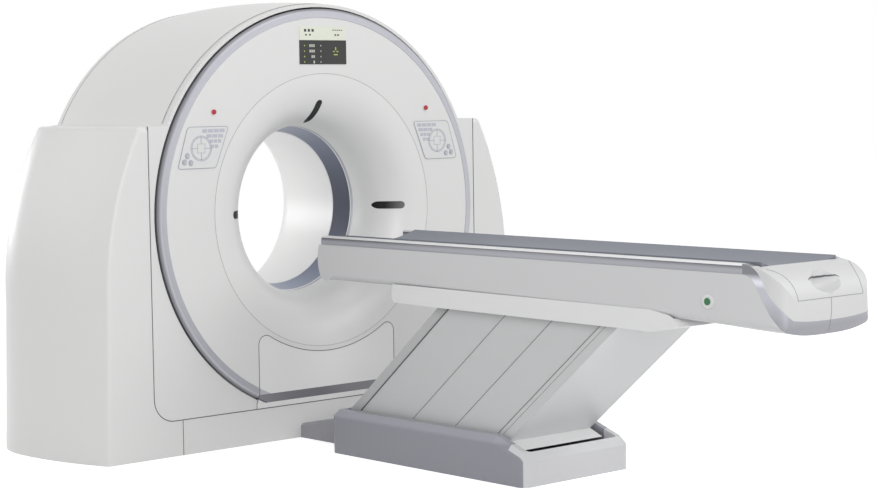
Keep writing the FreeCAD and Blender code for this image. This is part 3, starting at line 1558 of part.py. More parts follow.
def build_chassis():
    """Two deep beams under the deck, bored for the arms' upper pins."""
    body = body_at("table_chassis")
    top = s.top_side_high - s.deck_drop - s.deck_thick
    main_y, pin_z = along(s.main_pivot, s.arm_length, 0.0)
    second_y, second_z = along(s.second_pivot, s.arm_length, 0.0)
    low = pin_z - 26.0
    for side in (-1, 1):
        between(body, side * (s.chassis_across - s.chassis_thick / 2),
                side * (s.chassis_across + s.chassis_thick / 2), [
                    (main_y + 340.0, top), (second_y - 290.0, top), (second_y - 290.0, top - 116.0),
                    (second_y - 80.0, low + 34.0), (second_y - 28.0, low), (main_y + 28.0, low),
                    (main_y + 70.0, low + 30.0), (main_y + 340.0, top - 96.0)])
    reach = s.chassis_across + s.chassis_thick
    opening(body, "YZ", -reach, reach, round_at(main_y, pin_z, s.pin_radius + s.running_gap),
            round_at(second_y, second_z, s.pin_radius + 1.0))
    plate = s.chassis_across - s.chassis_thick / 2 + 1.0
    slab(body, "XY", top - 8.0, top, box_loop(-plate, second_y - 290.0, plate, main_y + 340.0))
    return keep(body, "table_chassis")


def cradle_centre():
    """The height of the axis that the cradle's hollow is struck from, and the hollow's radius."""
    radius = (s.cradle_half * s.cradle_half + s.cradle_sag * s.cradle_sag) / (2.0 * s.cradle_sag)
    return s.cradle_lip - s.cradle_sag + radius, radius


def under_cradle(across):
    """The height of the cradle's underside at a distance from its middle."""
    centre, radius = cradle_centre()
    reach = radius + s.cradle_thick
    return centre - side_of(reach, as_size(across))


def build_cradle():
    """The long hollowed cradle that carries the patient on two runners, and its guide rails."""
    half = s.cradle_half
    centre, radius = cradle_centre()
    low = under_cradle(half)
    cradle = body_at("cradle")
    slab(cradle, "XZ", -s.cradle_foot, -s.cradle_head, [
        (-half, low, radius + s.cradle_thick, 1), (half, low), (half, s.cradle_lip, radius, -1),
        (-half, s.cradle_lip)])
    deck = s.top_side_high - s.deck_drop
    guides = body_at("guide_rails")
    top = deck + s.guide_thick
    for side in (-1, 1):
        low_x, high_x = sorted((side * (s.guide_across - s.guide_half), side * (s.guide_across + s.guide_half)),
                               key=lambda size: size.value)
        slab(guides, "XY", deck, top, box_loop(low_x, -s.cradle_foot + 10.0, high_x, -s.nose_tip - 80.0))
        near_x = s.guide_across - s.guide_half - 6.0
        far_x = s.guide_across + s.guide_half + 6.0
        corners = [(side * near_x, under_cradle(near_x)), (side * near_x, top + s.joint_gap),
                   (side * far_x, top + s.joint_gap), (side * far_x, under_cradle(far_x))]
        slab(cradle, "XZ", -s.cradle_foot + 30.0, -s.cradle_foot + 30.0 + s.carriage_length,
             corners[:3] + [corners[3] + (radius + s.cradle_thick, -side)])
    keep(cradle, "cradle")
    return keep(guides, "guide_rails")


def build_lamp_button():
    """The lit green button on the table's near side, in its round bezel."""
    bezel = body_at("button_bezel")
    side = -s.top_half
    stand = s.lamp_stand
    place = (-s.lamp_depth, s.lamp_height)
    slab(bezel, "YZ", side - stand, side, round_at(*place, s.lamp_ring),
         round_at(*place, s.lamp_button + s.running_gap))
    keep(bezel, "button_bezel")
    button = body_at("green_button")
    slab(button, "YZ", side - stand - 3.0, side - 3.5, round_at(*place, s.lamp_button))
    return keep(button, "green_button")


# ---- make, test and write -------------------------------------------------------------------

def build_all():
    build_gantry_base()
    build_gantry_frame()
    build_bearing()
    build_rotor()
    build_brush_block()
    build_tube()
    build_collimator()
    build_detector()
    build_rotor_boxes()
    build_drum_shell()
    build_front_surround()
    build_side_covers()
    build_kick_plates()
    build_rear_cover()
    build_bore_lining()
    build_bore_funnel()
    build_front_cover()
    build_service_door()
    build_front_ring()
    build_display()
    build_control_panels()
    build_stop_buttons()
    build_duct()
    build_base_cover()
    build_table_base()
    arm_piece("main_arm", s.main_pivot, s.main_arm_across, s.actuator_reach)
    arm_piece("second_arm", s.second_pivot, s.second_arm_across, s.second_tube_out)
    build_actuator()
    build_slats()
    build_saddle()
    build_table_top()
    build_rails()
    build_chassis()
    build_cradle()
    build_lamp_button()


def check_document():
    """Stops unless every object was worked out and every piece is a valid solid."""
    faults = [obj.Label for obj in doc.Objects if "Invalid" in obj.State or "Error" in obj.State]
    for name, piece in PIECES.items():
        shape = piece.Shape
        if shape.isNull() or not shape.isValid() or not shape.Solids:
            faults.append(name)
    if faults:
        raise RuntimeError("not worked out: " + ", ".join(faults))


def write_pieces():
    os.makedirs("parts", exist_ok=True)
    for name, piece in PIECES.items():
        piece.Shape.exportStep("parts/%s.step" % name)


build_all()
doc.recompute()
check_document()
write_pieces()
print("%d pieces" % len(PIECES))
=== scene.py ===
"""The finishes and fine shapes of a CT scanner, built round its fixed frame."""
import math

import bmesh
import bpy
from bpy.props import FloatProperty, FloatVectorProperty, PointerProperty
from mathutils import Matrix, Vector
from mathutils.bvhtree import BVHTree


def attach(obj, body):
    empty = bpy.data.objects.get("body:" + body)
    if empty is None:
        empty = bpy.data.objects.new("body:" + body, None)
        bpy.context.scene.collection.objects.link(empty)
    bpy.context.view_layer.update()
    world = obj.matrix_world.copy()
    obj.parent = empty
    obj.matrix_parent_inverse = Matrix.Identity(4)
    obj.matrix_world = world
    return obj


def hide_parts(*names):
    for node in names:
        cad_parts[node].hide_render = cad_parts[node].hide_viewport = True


bl_info = {
    "name": "CT Scanner",
    "version": (1, 0, 0),
    "blender": (4, 5, 0),
    "location": "View3D > Sidebar > Scanner",
    "description": "Builds the covers, controls and finishes of a CT scanner round its frame",
    "category": "Object",
}

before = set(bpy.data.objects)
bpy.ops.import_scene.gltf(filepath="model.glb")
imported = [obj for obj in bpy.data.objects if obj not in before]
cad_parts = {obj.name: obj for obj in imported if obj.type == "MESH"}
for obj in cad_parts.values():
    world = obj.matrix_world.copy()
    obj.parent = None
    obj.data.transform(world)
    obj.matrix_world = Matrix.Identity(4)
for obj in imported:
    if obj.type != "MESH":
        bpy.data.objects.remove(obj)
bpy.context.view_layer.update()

MM = 0.001
SCAN_DEPTH = 308.0


def row(depth):
    """The Y of a depth in millimetres behind the gantry's front plane."""
    return (depth - SCAN_DEPTH) * MM


BORE_HEIGHT = 1.007
FACE = row(-22.0)
FRONT = row(0.0)
RING_INNER, RING_OUTER = 0.853, 0.893
# Radii where painted shade starts and is full on the ring's outer slope, where it starts on the door's
# ring band, and the width of the painted shadow in the gap round the ring
RING_SHADE_START, RING_SHADE_FULL, DOOR_RING_SHADE_START, RING_GAP = 0.880, 0.889, 0.884, 0.005
CHORD_LOW, CHORD_HIGH = 0.176, 0.218
KICK_HEIGHT = 0.152
FUNNEL_MOUTH = 0.606
DOOR_HALF, DOOR_CORNER, DOOR_ARC = 0.387, 0.040, 0.628
SURROUND_HALF, SURROUND_CORNER, COLUMN_TOP = 0.922, 0.100, 1.398
TOE = 0.779
RETURN_SIDES, RETURN_THICK, RETURN_DEPTHS = (-0.8325, 0.8255), 0.007, (560.0, 893.0)
RETURN_LOW, RETURN_HIGH = 0.640, 1.394
BARREL_WIDEST, BARREL_ARC, BARREL_MIDDLE = 932.0, 4278.0, 398.0
BARREL_FRONT, BARREL_START, BARREL_END = 0.9165, 26.0, 154.0
WINDOW_RADIUS = 0.375
WINDOW_RIMS = ((0.3745, 258.0), (0.3495, 358.5))
# Laser slots: their black, the X beyond which a painted sheen is laid, and the radii over which it
# pales them
LASER_BLACK, LASER_SHEEN_SIDE, LASER_SHEEN_RADII = (0.004, 0.004, 0.005), 0.2, (0.42, 0.50)
STOP_ACROSS, STOP_HEIGHT, HALO_RADIUS = 0.602, 1.453, 0.0135
PANEL_CORNERS = [(0.596, 1.216), (0.792, 1.216), (0.738, 1.391), (0.526, 1.391)]
DIAL_ACROSS, DIAL_HEIGHT, DIAL_RADIUS, DIAL_SQUARE = 0.671, 1.300, 0.053, 0.019
KEY_ACROSS, KEY_RING = 0.670, 0.011
KEY_PLACES = ((0.073, 0.030), (0.088, 0.056), (0.055, 0.060))
PAD_ROWS = ((0.548, 4), (0.556, 3), (0.567, 3), (0.583, 2))
LEAN = 1.0 / math.tan(math.radians(40.0))
RIM_HEIGHT = 0.184


# ---- sizes and colours a user would change -----------------------------------------------------

def colour(name, description, default):
    return FloatVectorProperty(
        name=name, description=description, default=default, subtype="COLOR", min=0.0, max=1.0)


def length(name, description, default):
    return FloatProperty(name=name, description=description, default=default, unit="LENGTH", min=0.0)


class ScannerColours(bpy.types.PropertyGroup):
    """The colours of the finishes"""

    cover: colour("Cover", "Moulded covers of the gantry", (0.74, 0.74, 0.735))
    funnel: colour("Funnel", "The bore's funnel", (0.76, 0.76, 0.755))
    ring: colour("Ring", "Trim ring and foot band", (0.50, 0.50, 0.55))
    ring_shadow: colour("Ring shadow", "The dark gap round the trim ring", (0.08, 0.08, 0.095))
    window: colour("Window", "Tinted ring that the rays pass", (0.095, 0.105, 0.140))
    trim: colour("Trim", "Thin rings and bezels", (0.40, 0.41, 0.45))
    panel: colour("Panel", "Touch panel film", (0.72, 0.72, 0.725))
    panel_line: colour("Panel line", "Outlines on the touch panels", (0.26, 0.27, 0.34))
    pad: colour("Pad", "Flat pads on the touch panels", (0.50, 0.51, 0.57))
    # Painted shadow: this dark stands in for the shade in the seams' gaps, at the pedestal's head
    # strip and in the grip's opening
    seam: colour("Seam", "Gaskets in the seams", (0.10, 0.10, 0.11))
    lip: colour("Lip", "White lip at the pedestal's foot", (0.86, 0.86, 0.86))
    stop: colour("Stop", "Red buttons", (0.45, 0.02, 0.03))
    lamp: colour("Lamp", "Green button", (0.02, 0.16, 0.05))
    header: colour("Header", "Plate over the display", (0.74, 0.765, 0.66))
    screen: colour("Screen", "Display glass", (0.022, 0.024, 0.022))
    mark: colour("Mark", "Digits on the display", (0.50, 0.51, 0.46))
    symbol: colour("Symbol", "Symbol and lamps on the display", (0.42, 0.50, 0.10))
    base: colour("Base", "Base cover of the table", (0.275, 0.275, 0.315))
    # Painted light: a lit, lighter copy of the base colour for the foot-end face
    base_end_painted_light: colour("Base end", "Foot end of the base cover", (0.62, 0.62, 0.64))
    duct: colour("Duct", "Cable duct", (0.335, 0.335, 0.365))
    slat: colour("Slat", "Covers of the slanted pedestal", (0.575, 0.58, 0.585))
    table: colour("Table", "Body of the table top", (0.61, 0.61, 0.62))
    saddle: colour("Saddle", "Fairing under the table top", (0.74, 0.74, 0.745))
    rail: colour("Rail", "Trim rails of the table top", (0.36, 0.36, 0.40))
    cradle: colour("Cradle", "Patient cradle", (0.185, 0.198, 0.235))
    cap: colour("Cap", "Foot cap of the table top", (0.62, 0.62, 0.625))
    steel: colour("Steel", "Painted frames and arms", (0.22, 0.23, 0.25))
    bright: colour("Bright metal", "Bearings, rods and turning parts", (0.55, 0.55, 0.56))
    floor: colour("Floor", "Studio floor", (0.82, 0.82, 0.82))


class ScannerSizes(bpy.types.PropertyGroup):
    """The sizes of the floor and of the seams"""

    floor: length("Floor", "Side of the studio floor", 60.0)
    seam: length("Seam", "Half the width of the dark seams between covers", 2.0 * MM)
    hairline: length("Hairline", "Half the width of the fine seams and printed lines", 1.0 * MM)


# ---- materials -----------------------------------------------------------------------------------

class Value:
    """A shader socket that sums, products and comparisons can be written with."""

    def __init__(self, recipe, socket):
        self.recipe = recipe
        self.socket = socket

    def math(self, operation, *others):
        return self.recipe.node(
            "ShaderNodeMath", {"operation": operation}, dict(enumerate((self,) + others)))

    def __add__(self, other):
        return self.math("ADD", other)

    def __mul__(self, other):
        return self.math("MULTIPLY", other)

    def __sub__(self, other):
        return self.math("SUBTRACT", other)

    def __truediv__(self, other):
        return self.math("DIVIDE", other)

    def __gt__(self, other):
        return self.math("GREATER_THAN", other)

    def __lt__(self, other):
        return self.math("LESS_THAN", other)

    def __abs__(self):
        return self.math("ABSOLUTE")


class Recipe:
    """One material's nodes. Every texture reads the object's own coordinates, in metres."""

    def __init__(self, name, base, roughness, **fixed):
        self.material = bpy.data.materials.new(name)
        self.material.use_nodes = True
        self.tree = self.material.node_tree
        self.shader = self.tree.nodes["Principled BSDF"]
        self.shader.inputs["Base Color"].default_value = (*base, 1.0)
        self.shader.inputs["Roughness"].default_value = roughness
        for socket, number in fixed.items():
            self.shader.inputs[socket.replace("_", " ")].default_value = number
        self.place = self.node("ShaderNodeTexCoord", output="Object")
        self.tone = base

    def node(self, kind, settings=None, inputs=None, output=0):
        node = self.tree.nodes.new(kind)
        for name, setting in (settings or {}).items():
            setattr(node, name, setting)
        for key, value in (inputs or {}).items():
            if isinstance(value, Value):
                self.tree.links.new(value.socket, node.inputs[key])
            else:
                node.inputs[key].default_value = value
        return Value(self, node.outputs[output])

    def noise(self, scale, detail=2.0, place=None):
        return self.node("ShaderNodeTexNoise", {"noise_dimensions": "3D"},
                         {"Vector": place or self.place, "Scale": scale, "Detail": detail}, "Fac")

    def axes(self):
        node = self.tree.nodes.new("ShaderNodeSeparateXYZ")
        self.tree.links.new(self.place.socket, node.inputs[0])
        return [Value(self, socket) for socket in node.outputs]

    def radius(self):
        """The distance from the bore's axis."""
        x, _, z = self.axes()
        rise = z - BORE_HEIGHT
        return (x * x + rise * rise).math("SQRT")

    def over(self, mask, tone):
        """Paints another tone where the mask is 1."""
        self.tone = self.mix(mask, self.tone, tone)
        self.paint("Base Color", self.tone)
        return self

    def ramp(self, value, low, high, start=0.0, end=1.0):
        return self.node("ShaderNodeMapRange", {"clamp": True}, {
            "Value": value, "From Min": start, "From Max": end, "To Min": low, "To Max": high})

    def mix(self, share, first, second):
        """A colour between two colours."""
        ends = {6: first, 7: second}
        inputs = {key: end if isinstance(end, Value) else (*end[:3], 1.0) for key, end in ends.items()}
        return self.node("ShaderNodeMix", {"data_type": "RGBA"}, {0: share, **inputs}, 2)

    def paint(self, socket, value):
        self.tree.links.new(value.socket, self.shader.inputs[socket])
        return self

    def bump(self, height, strength, distance):
        normal = self.node("ShaderNodeBump", None, {
            "Strength": strength, "Distance": distance, "Height": height}, "Normal")
        return self.paint("Normal", normal)


def shade(base, factor):
    return tuple(min(1.0, part * factor) for part in base)


def shell(name, base, roughness=0.4, drift=0.012):
    """A moulded or painted shell's recipe: nearly even, with a faint drift of tone and gloss."""
    recipe = Recipe(name, base, roughness)
    tone = recipe.noise(1.1, 0.0)
    recipe.tone = recipe.mix(tone, shade(base, 1.0 - drift), shade(base, 1.0 + drift))
    recipe.paint("Base Color", recipe.tone)
    recipe.paint("Roughness", recipe.ramp(recipe.noise(3.0, 0.0), roughness - 0.03, roughness + 0.03))
    recipe.bump(recipe.noise(260.0, 2.0), 0.06, 0.02 * MM)
    return recipe


def moulded(name, base, roughness=0.4, drift=0.012):
    return shell(name, base, roughness, drift).material


def flaked(name, base, roughness=0.35, metal=0.3):
    """The recipe of metallic paint or satin metal with a fine flake."""
    recipe = Recipe(name, base, roughness, Metallic=metal)
    flake = recipe.noise(500.0, 1.0)
    recipe.tone = recipe.mix(flake, shade(base, 0.97), shade(base, 1.03))
    recipe.paint("Base Color", recipe.tone)
    recipe.paint("Roughness", recipe.ramp(recipe.noise(8.0, 0.0), roughness - 0.04, roughness + 0.04))
    recipe.bump(flake, 0.05, 0.02 * MM)
    return recipe


def metallic(name, base, roughness=0.35, metal=0.3):
    return flaked(name, base, roughness, metal).material


def glossy(name, base, roughness=0.12, **fixed):
    """Glass, tinted film or a polished plastic."""
    recipe = Recipe(name, base, roughness, **fixed)
    recipe.paint("Roughness", recipe.ramp(recipe.noise(6.0, 0.0), roughness * 0.8, roughness * 1.3))
    return recipe.material


def link(name, mesh, material, body, slot, *replaced):
    """Puts a new piece in the scene: what carries it and the solids it stands for; the slot argument
    is not used.
    """
    mesh.materials.clear()
    mesh.materials.append(material)
    piece = bpy.data.objects.new(name, mesh)
    bpy.context.scene.collection.objects.link(piece)
    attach(piece, body)
    if replaced:
        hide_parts(*replaced)
    return piece


def strips(name, paths, radius, material, body, slot="trim_grey", tapered=False):
    """Thin round strips along open or closed paths, as one piece: dark strips of painted shadow in
    seams, painted highlights and printed lines.
    """
    curve = bpy.data.curves.new(name, "CURVE")
    curve.dimensions = "3D"
    curve.bevel_depth = radius
    curve.bevel_resolution = 1
    for path, closed in paths:
        spline = curve.splines.new("POLY")
        spline.points.add(len(path) - 1)
        for number, (point, place) in enumerate(zip(spline.points, path)):
            point.co = (*place, 1.0)
            if tapered:
                point.radius = 0.15 + math.sin(math.pi * number / (len(path) - 1))
        spline.use_cyclic_u = closed
    drawn = bpy.data.objects.new(name, curve)
    mesh = bpy.data.meshes.new_from_object(drawn)
    bpy.data.objects.remove(drawn)
    mesh.name = name
    for face in mesh.polygons:
        face.use_smooth = True
    return link(name, mesh, material, body, slot)


def arc(across, height, radius, start, end, y, steps=24):
    """Points of an arc in an upright plane that faces the table; angles in degrees from +X."""
    points = []
    for step in range(steps + 1):
        angle = math.radians(start + (end - start) * step / steps)
        points.append((across + radius * math.cos(angle), y, height + radius * math.sin(angle)))
    return points


def ring_path(radius, y, steps=128):
    return arc(0.0, BORE_HEIGHT, radius, 0.0, 360.0 - 360.0 / steps, y, steps - 1), True


def block(shape, low, high):
    """Adds a box between two corners."""
    made = bmesh.ops.create_cube(shape, size=1.0)["verts"]
    bmesh.ops.scale(shape, vec=Vector(high) - Vector(low), verts=made)
    bmesh.ops.translate(shape, vec=(Vector(high) + Vector(low)) / 2, verts=made)


def plate(shape, outline, back, front, corner):
    """Adds a plate with round corners from its (x, z) outline; returns its front loop of points."""
    base = shape.faces.new([shape.verts.new((x, back, z)) for x, z in outline])
    raised = bmesh.ops.extrude_face_region(shape, geom=[base])["geom"]
    moved = [part for part in raised if isinstance(part, bmesh.types.BMVert)]
    bmesh.ops.translate(shape, vec=(0.0, front - back, 0.0), verts=moved)
    upright = [edge for edge in shape.edges
               if edge.verts[0].co.xz == edge.verts[1].co.xz and edge.link_faces]
    bmesh.ops.bevel(shape, geom=upright, offset=corner, segments=5, affect="EDGES", profile=0.5,
                    material=-1)
    bmesh.ops.recalc_face_normals(shape, faces=shape.faces)
    nearest = [face for face in shape.faces if all(abs(v.co.y - front) < MM * 0.1 for v in face.verts)]
    return [tuple(v.co) for v in nearest[0].verts]


def finished(name, shape):
    mesh = bpy.data.meshes.new(name)
    shape.to_mesh(mesh)
    shape.free()
    return mesh


def copied(node):
    """A copy of a solid's faces with its doubled corners merged."""
    shape = bmesh.new()
    shape.from_mesh(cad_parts[node].data)
    bmesh.ops.remove_doubles(shape, verts=shape.verts, dist=0.02 * MM)
    return shape


def sliced(shape, normal, places):
    """Cuts the faces along planes square to the normal, so that they can bend there."""
    for place in places:
        bmesh.ops.bisect_plane(shape, geom=shape.verts[:] + shape.edges[:] + shape.faces[:],
                               plane_co=Vector(normal) * place, plane_no=normal, dist=0.01 * MM)


def steps(first, last, step):
    return [first + step * number for number in range(int((last - first) / step) + 1)]


def eased(value, start, end):
    """0 before the start, 1 after the end, and a smooth rise between."""
    share = min(1.0, max(0.0, (value - start) / (end - start)))
    return share * share * (3.0 - 2.0 * share)


def smoothed(name, shape, angle=28.0):
    """The shape as a mesh with soft faces and only its real edges sharp."""
    mesh = finished(name, shape)
    if "custom_normal" in mesh.attributes:
        mesh.attributes.remove(mesh.attributes["custom_normal"])
    for face in mesh.polygons:
        face.use_smooth = True
    mesh.set_sharp_from_angle(angle=math.radians(angle))
    return mesh


def eased_blocks(name, boxes, bevel=0.0):
    """Boxes as one mesh, their edges bevelled."""
    shape = bmesh.new()
    for low, high in boxes:
        block(shape, low, high)
    if bevel:
        bmesh.ops.bevel(shape, geom=shape.edges[:], offset=bevel, segments=2, affect="EDGES",
                        profile=0.5, material=-1)
    return finished(name, shape)


def dress(material, *names):
    """Gives the named solids of the frame this material."""
    for name in names:
        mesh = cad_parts[name].data
        mesh.materials.clear()
        mesh.materials.append(material)


# ---- operators -----------------------------------------------------------------------------------

class Builder:
    """What every operator here shares: the scene's sizes and colours."""

    bl_options = {"REGISTER", "UNDO"}

    def colours(self):
        return bpy.context.scene.scanner_colours

    def sizes(self):
        return bpy.context.scene.scanner_sizes


class SCANNER_OT_covers(Builder, bpy.types.Operator):
    """Finish the gantry's covers"""

    bl_idname = "scanner.covers"
    bl_label = "Gantry covers"

    def execute(self, context):
        colours = self.colours()
        cover = moulded("cover_shell", colours.cover)
        dress(cover, "drum_shell", "front_surround", "side_cover_left", "side_cover_right",
              "kick_plates", "rear_cover", "front_cover")
        ring = flaked("trim_ring", colours.ring)
        # Painted shade: the ring darkens over its outer slope towards the gap round it
        ring.over(ring.ramp(ring.radius(), 0.0, 1.0, RING_SHADE_START, RING_SHADE_FULL), shade(colours.ring, 0.42))
        dress(ring.material, "front_ring")
        dress(self.door_paint_light_and_shade(colours), "service_door")
        self.lay_returns(cover)
        return {"FINISHED"}

    def lay_returns(self, cover):
        """The walls that close the gaps between the rear cover's edges and the side covers."""
        near, far = (row(depth) for depth in RETURN_DEPTHS)
        walls = [((low, near, RETURN_LOW), (low + RETURN_THICK, far, RETURN_HIGH))
                 for low in RETURN_SIDES]
        link("rear_returns", eased_blocks("rear_returns", walls, 1.0 * MM), cover, "root",
             "cover_white")

    def door_paint_light_and_shade(self, colours):
        """The door goes on with the ring's colours where the ring's flat chord crosses it. It is a
        lighter copy of the cover colour as a painted highlight. It has painted shade on the ring's
        outer slope and on the chord, and a painted shadow in the gap round the ring.
        """
        # Painted highlight: the whole door is a lighter copy of the cover colour
        door = shell("door_shell", shade(colours.cover, 1.08))
        _, _, height = door.axes()
        reach = door.radius()
        above = height > CHORD_LOW
        door.over((reach > RING_INNER) * above * (reach < RING_OUTER), colours.ring)
        # Painted shade on the outer slope of the ring's band
        door.over((reach > DOOR_RING_SHADE_START) * above * (reach < RING_OUTER), shade(colours.ring, 0.5))
        # Painted shade on the chord, which faces down
        door.over((height < CHORD_HIGH) * above * (reach < RING_OUTER), shade(colours.ring, 0.45))
        # Painted shadow in the gap round the ring
        door.over((reach > RING_OUTER) * above * (reach < RING_OUTER + RING_GAP), colours.ring_shadow)
        return door.material


class SCANNER_OT_seams(Builder, bpy.types.Operator):
    """Lay dark strips of painted shadow in the seams between the gantry's covers"""

    bl_idname = "scanner.seams"
    bl_label = "Gantry seams"

    def execute(self, context):
        seam = self.sizes().seam
        # Painted shadow in the seams' gaps
        dark = moulded("seam_painted_shadow", self.colours().seam, 0.6)
        # Painted shade: a darker copy of the cover colour along the fine seams
        soft = moulded("seam_painted_shade", shade(self.colours().cover, 0.45), 0.6)
        strips("surround_seam", [(self.surround_path(), False)], seam, dark, "root")
        strips("door_seam", [(self.door_path(), False)], seam * 0.8, dark, "root")
        strips("toe_seams", [([(side * TOE, FRONT, 0.0), (side * TOE, FRONT, KICK_HEIGHT)], False)
                             for side in (-1, 1)], seam * 0.8, dark, "root")
        strips("funnel_seam", [ring_path(FUNNEL_MOUTH, FACE)], self.sizes().hairline, soft, "root")
        strips("barrel_seams", [
            (arc(0.0, BORE_HEIGHT, radius, BARREL_START, BARREL_END, row(depth), 64), False)
            for radius, depth in ((BARREL_FRONT, 40.0), (barrel_radius(840.0), 840.0))],
               seam * 0.7, soft, "root")
        # Painted highlight: rims along the window's edges in a lighter copy of the funnel colour
        bright = moulded("window_rims", shade(self.colours().funnel, 1.15), 0.25)
        strips("window_rims", [ring_path(radius, row(depth)) for radius, depth in WINDOW_RIMS],
               seam * 1.2, bright, "root")
        return {"FINISHED"}

    def surround_path(self):
        """Down one column, round the low corner, along over the kick plate and up the other side."""
        low = KICK_HEIGHT + SURROUND_CORNER
        turn = SURROUND_HALF - SURROUND_CORNER
        return ([(-SURROUND_HALF, FRONT, COLUMN_TOP)]
                + arc(-turn, low, SURROUND_CORNER, 180.0, 270.0, FRONT, 10)
                + arc(turn, low, SURROUND_CORNER, 270.0, 360.0, FRONT, 10)
                + [(SURROUND_HALF, FRONT, COLUMN_TOP)])

    def door_path(self):
        """Up over the chord, round a corner, along the hollow arc under the bore and back down."""
        across = DOOR_HALF - DOOR_CORNER
        fall = math.sqrt((DOOR_ARC + DOOR_CORNER) ** 2 - across ** 2)
        lean = math.degrees(math.atan2(fall, across))
        side = [(DOOR_HALF, FRONT, KICK_HEIGHT), (DOOR_HALF, FRONT, CHORD_LOW),
                (DOOR_HALF, FACE, CHORD_HIGH)]
        corner = arc(across, BORE_HEIGHT - fall, DOOR_CORNER, 0.0, 180.0 - lean, FACE, 10)
        right = side + corner
        left = [(-x, y, z) for x, y, z in reversed(right)]
        hollow = arc(0.0, BORE_HEIGHT, DOOR_ARC, -lean, lean - 180.0, FACE, 30)
        return right + hollow[1:-1] + left


def barrel_radius(depth):
    """The barrel's radius at a depth: an arc about a far centre, widest in the middle."""
    rise = math.sqrt(BARREL_ARC ** 2 - (depth - BARREL_MIDDLE) ** 2)
    return (BARREL_WIDEST - BARREL_ARC + rise) * MM


class SCANNER_OT_bore(Builder, bpy.types.Operator):
    """Finish the bore's funnel, window and rear funnel"""

    bl_idname = "scanner.bore"
    bl_label = "Bore"

    def execute(self, context):
        colours = self.colours()
        dress(moulded("funnel_shell", colours.funnel, 0.36), "bore_funnel")
        dress(moulded("rear_funnel_shell", shade(colours.funnel, 1.18), 0.36), "rear_funnel")
        window = Recipe("window_tint", colours.window, 0.3)
        _, _, height = window.axes()
        # Painted sheen: the tint lightens towards the ring's top and bottom
        fall = abs(height - BORE_HEIGHT) / WINDOW_RADIUS
        glow = window.mix(fall * fall, colours.window, shade(colours.window, 3.4))
        window.paint("Base Color", glow)
        dress(window.material, "scan_window")
        laser = Recipe("laser_tint", LASER_BLACK, 0.3, Specular_IOR_Level=0.25)
        across, _, _ = laser.axes()
        # Painted sheen: on the +X side the slots pale towards their outer ends
        sheen_share = laser.ramp(laser.radius(), 0.0, 0.25, *LASER_SHEEN_RADII) * (across > LASER_SHEEN_SIDE)
        laser.paint("Base Color", laser.mix(sheen_share, LASER_BLACK, colours.funnel))
        dress(laser.material, "laser_windows")
        dress(metallic("window_ring", colours.trim, 0.4, 0.3), "window_trim")
        return {"FINISHED"}


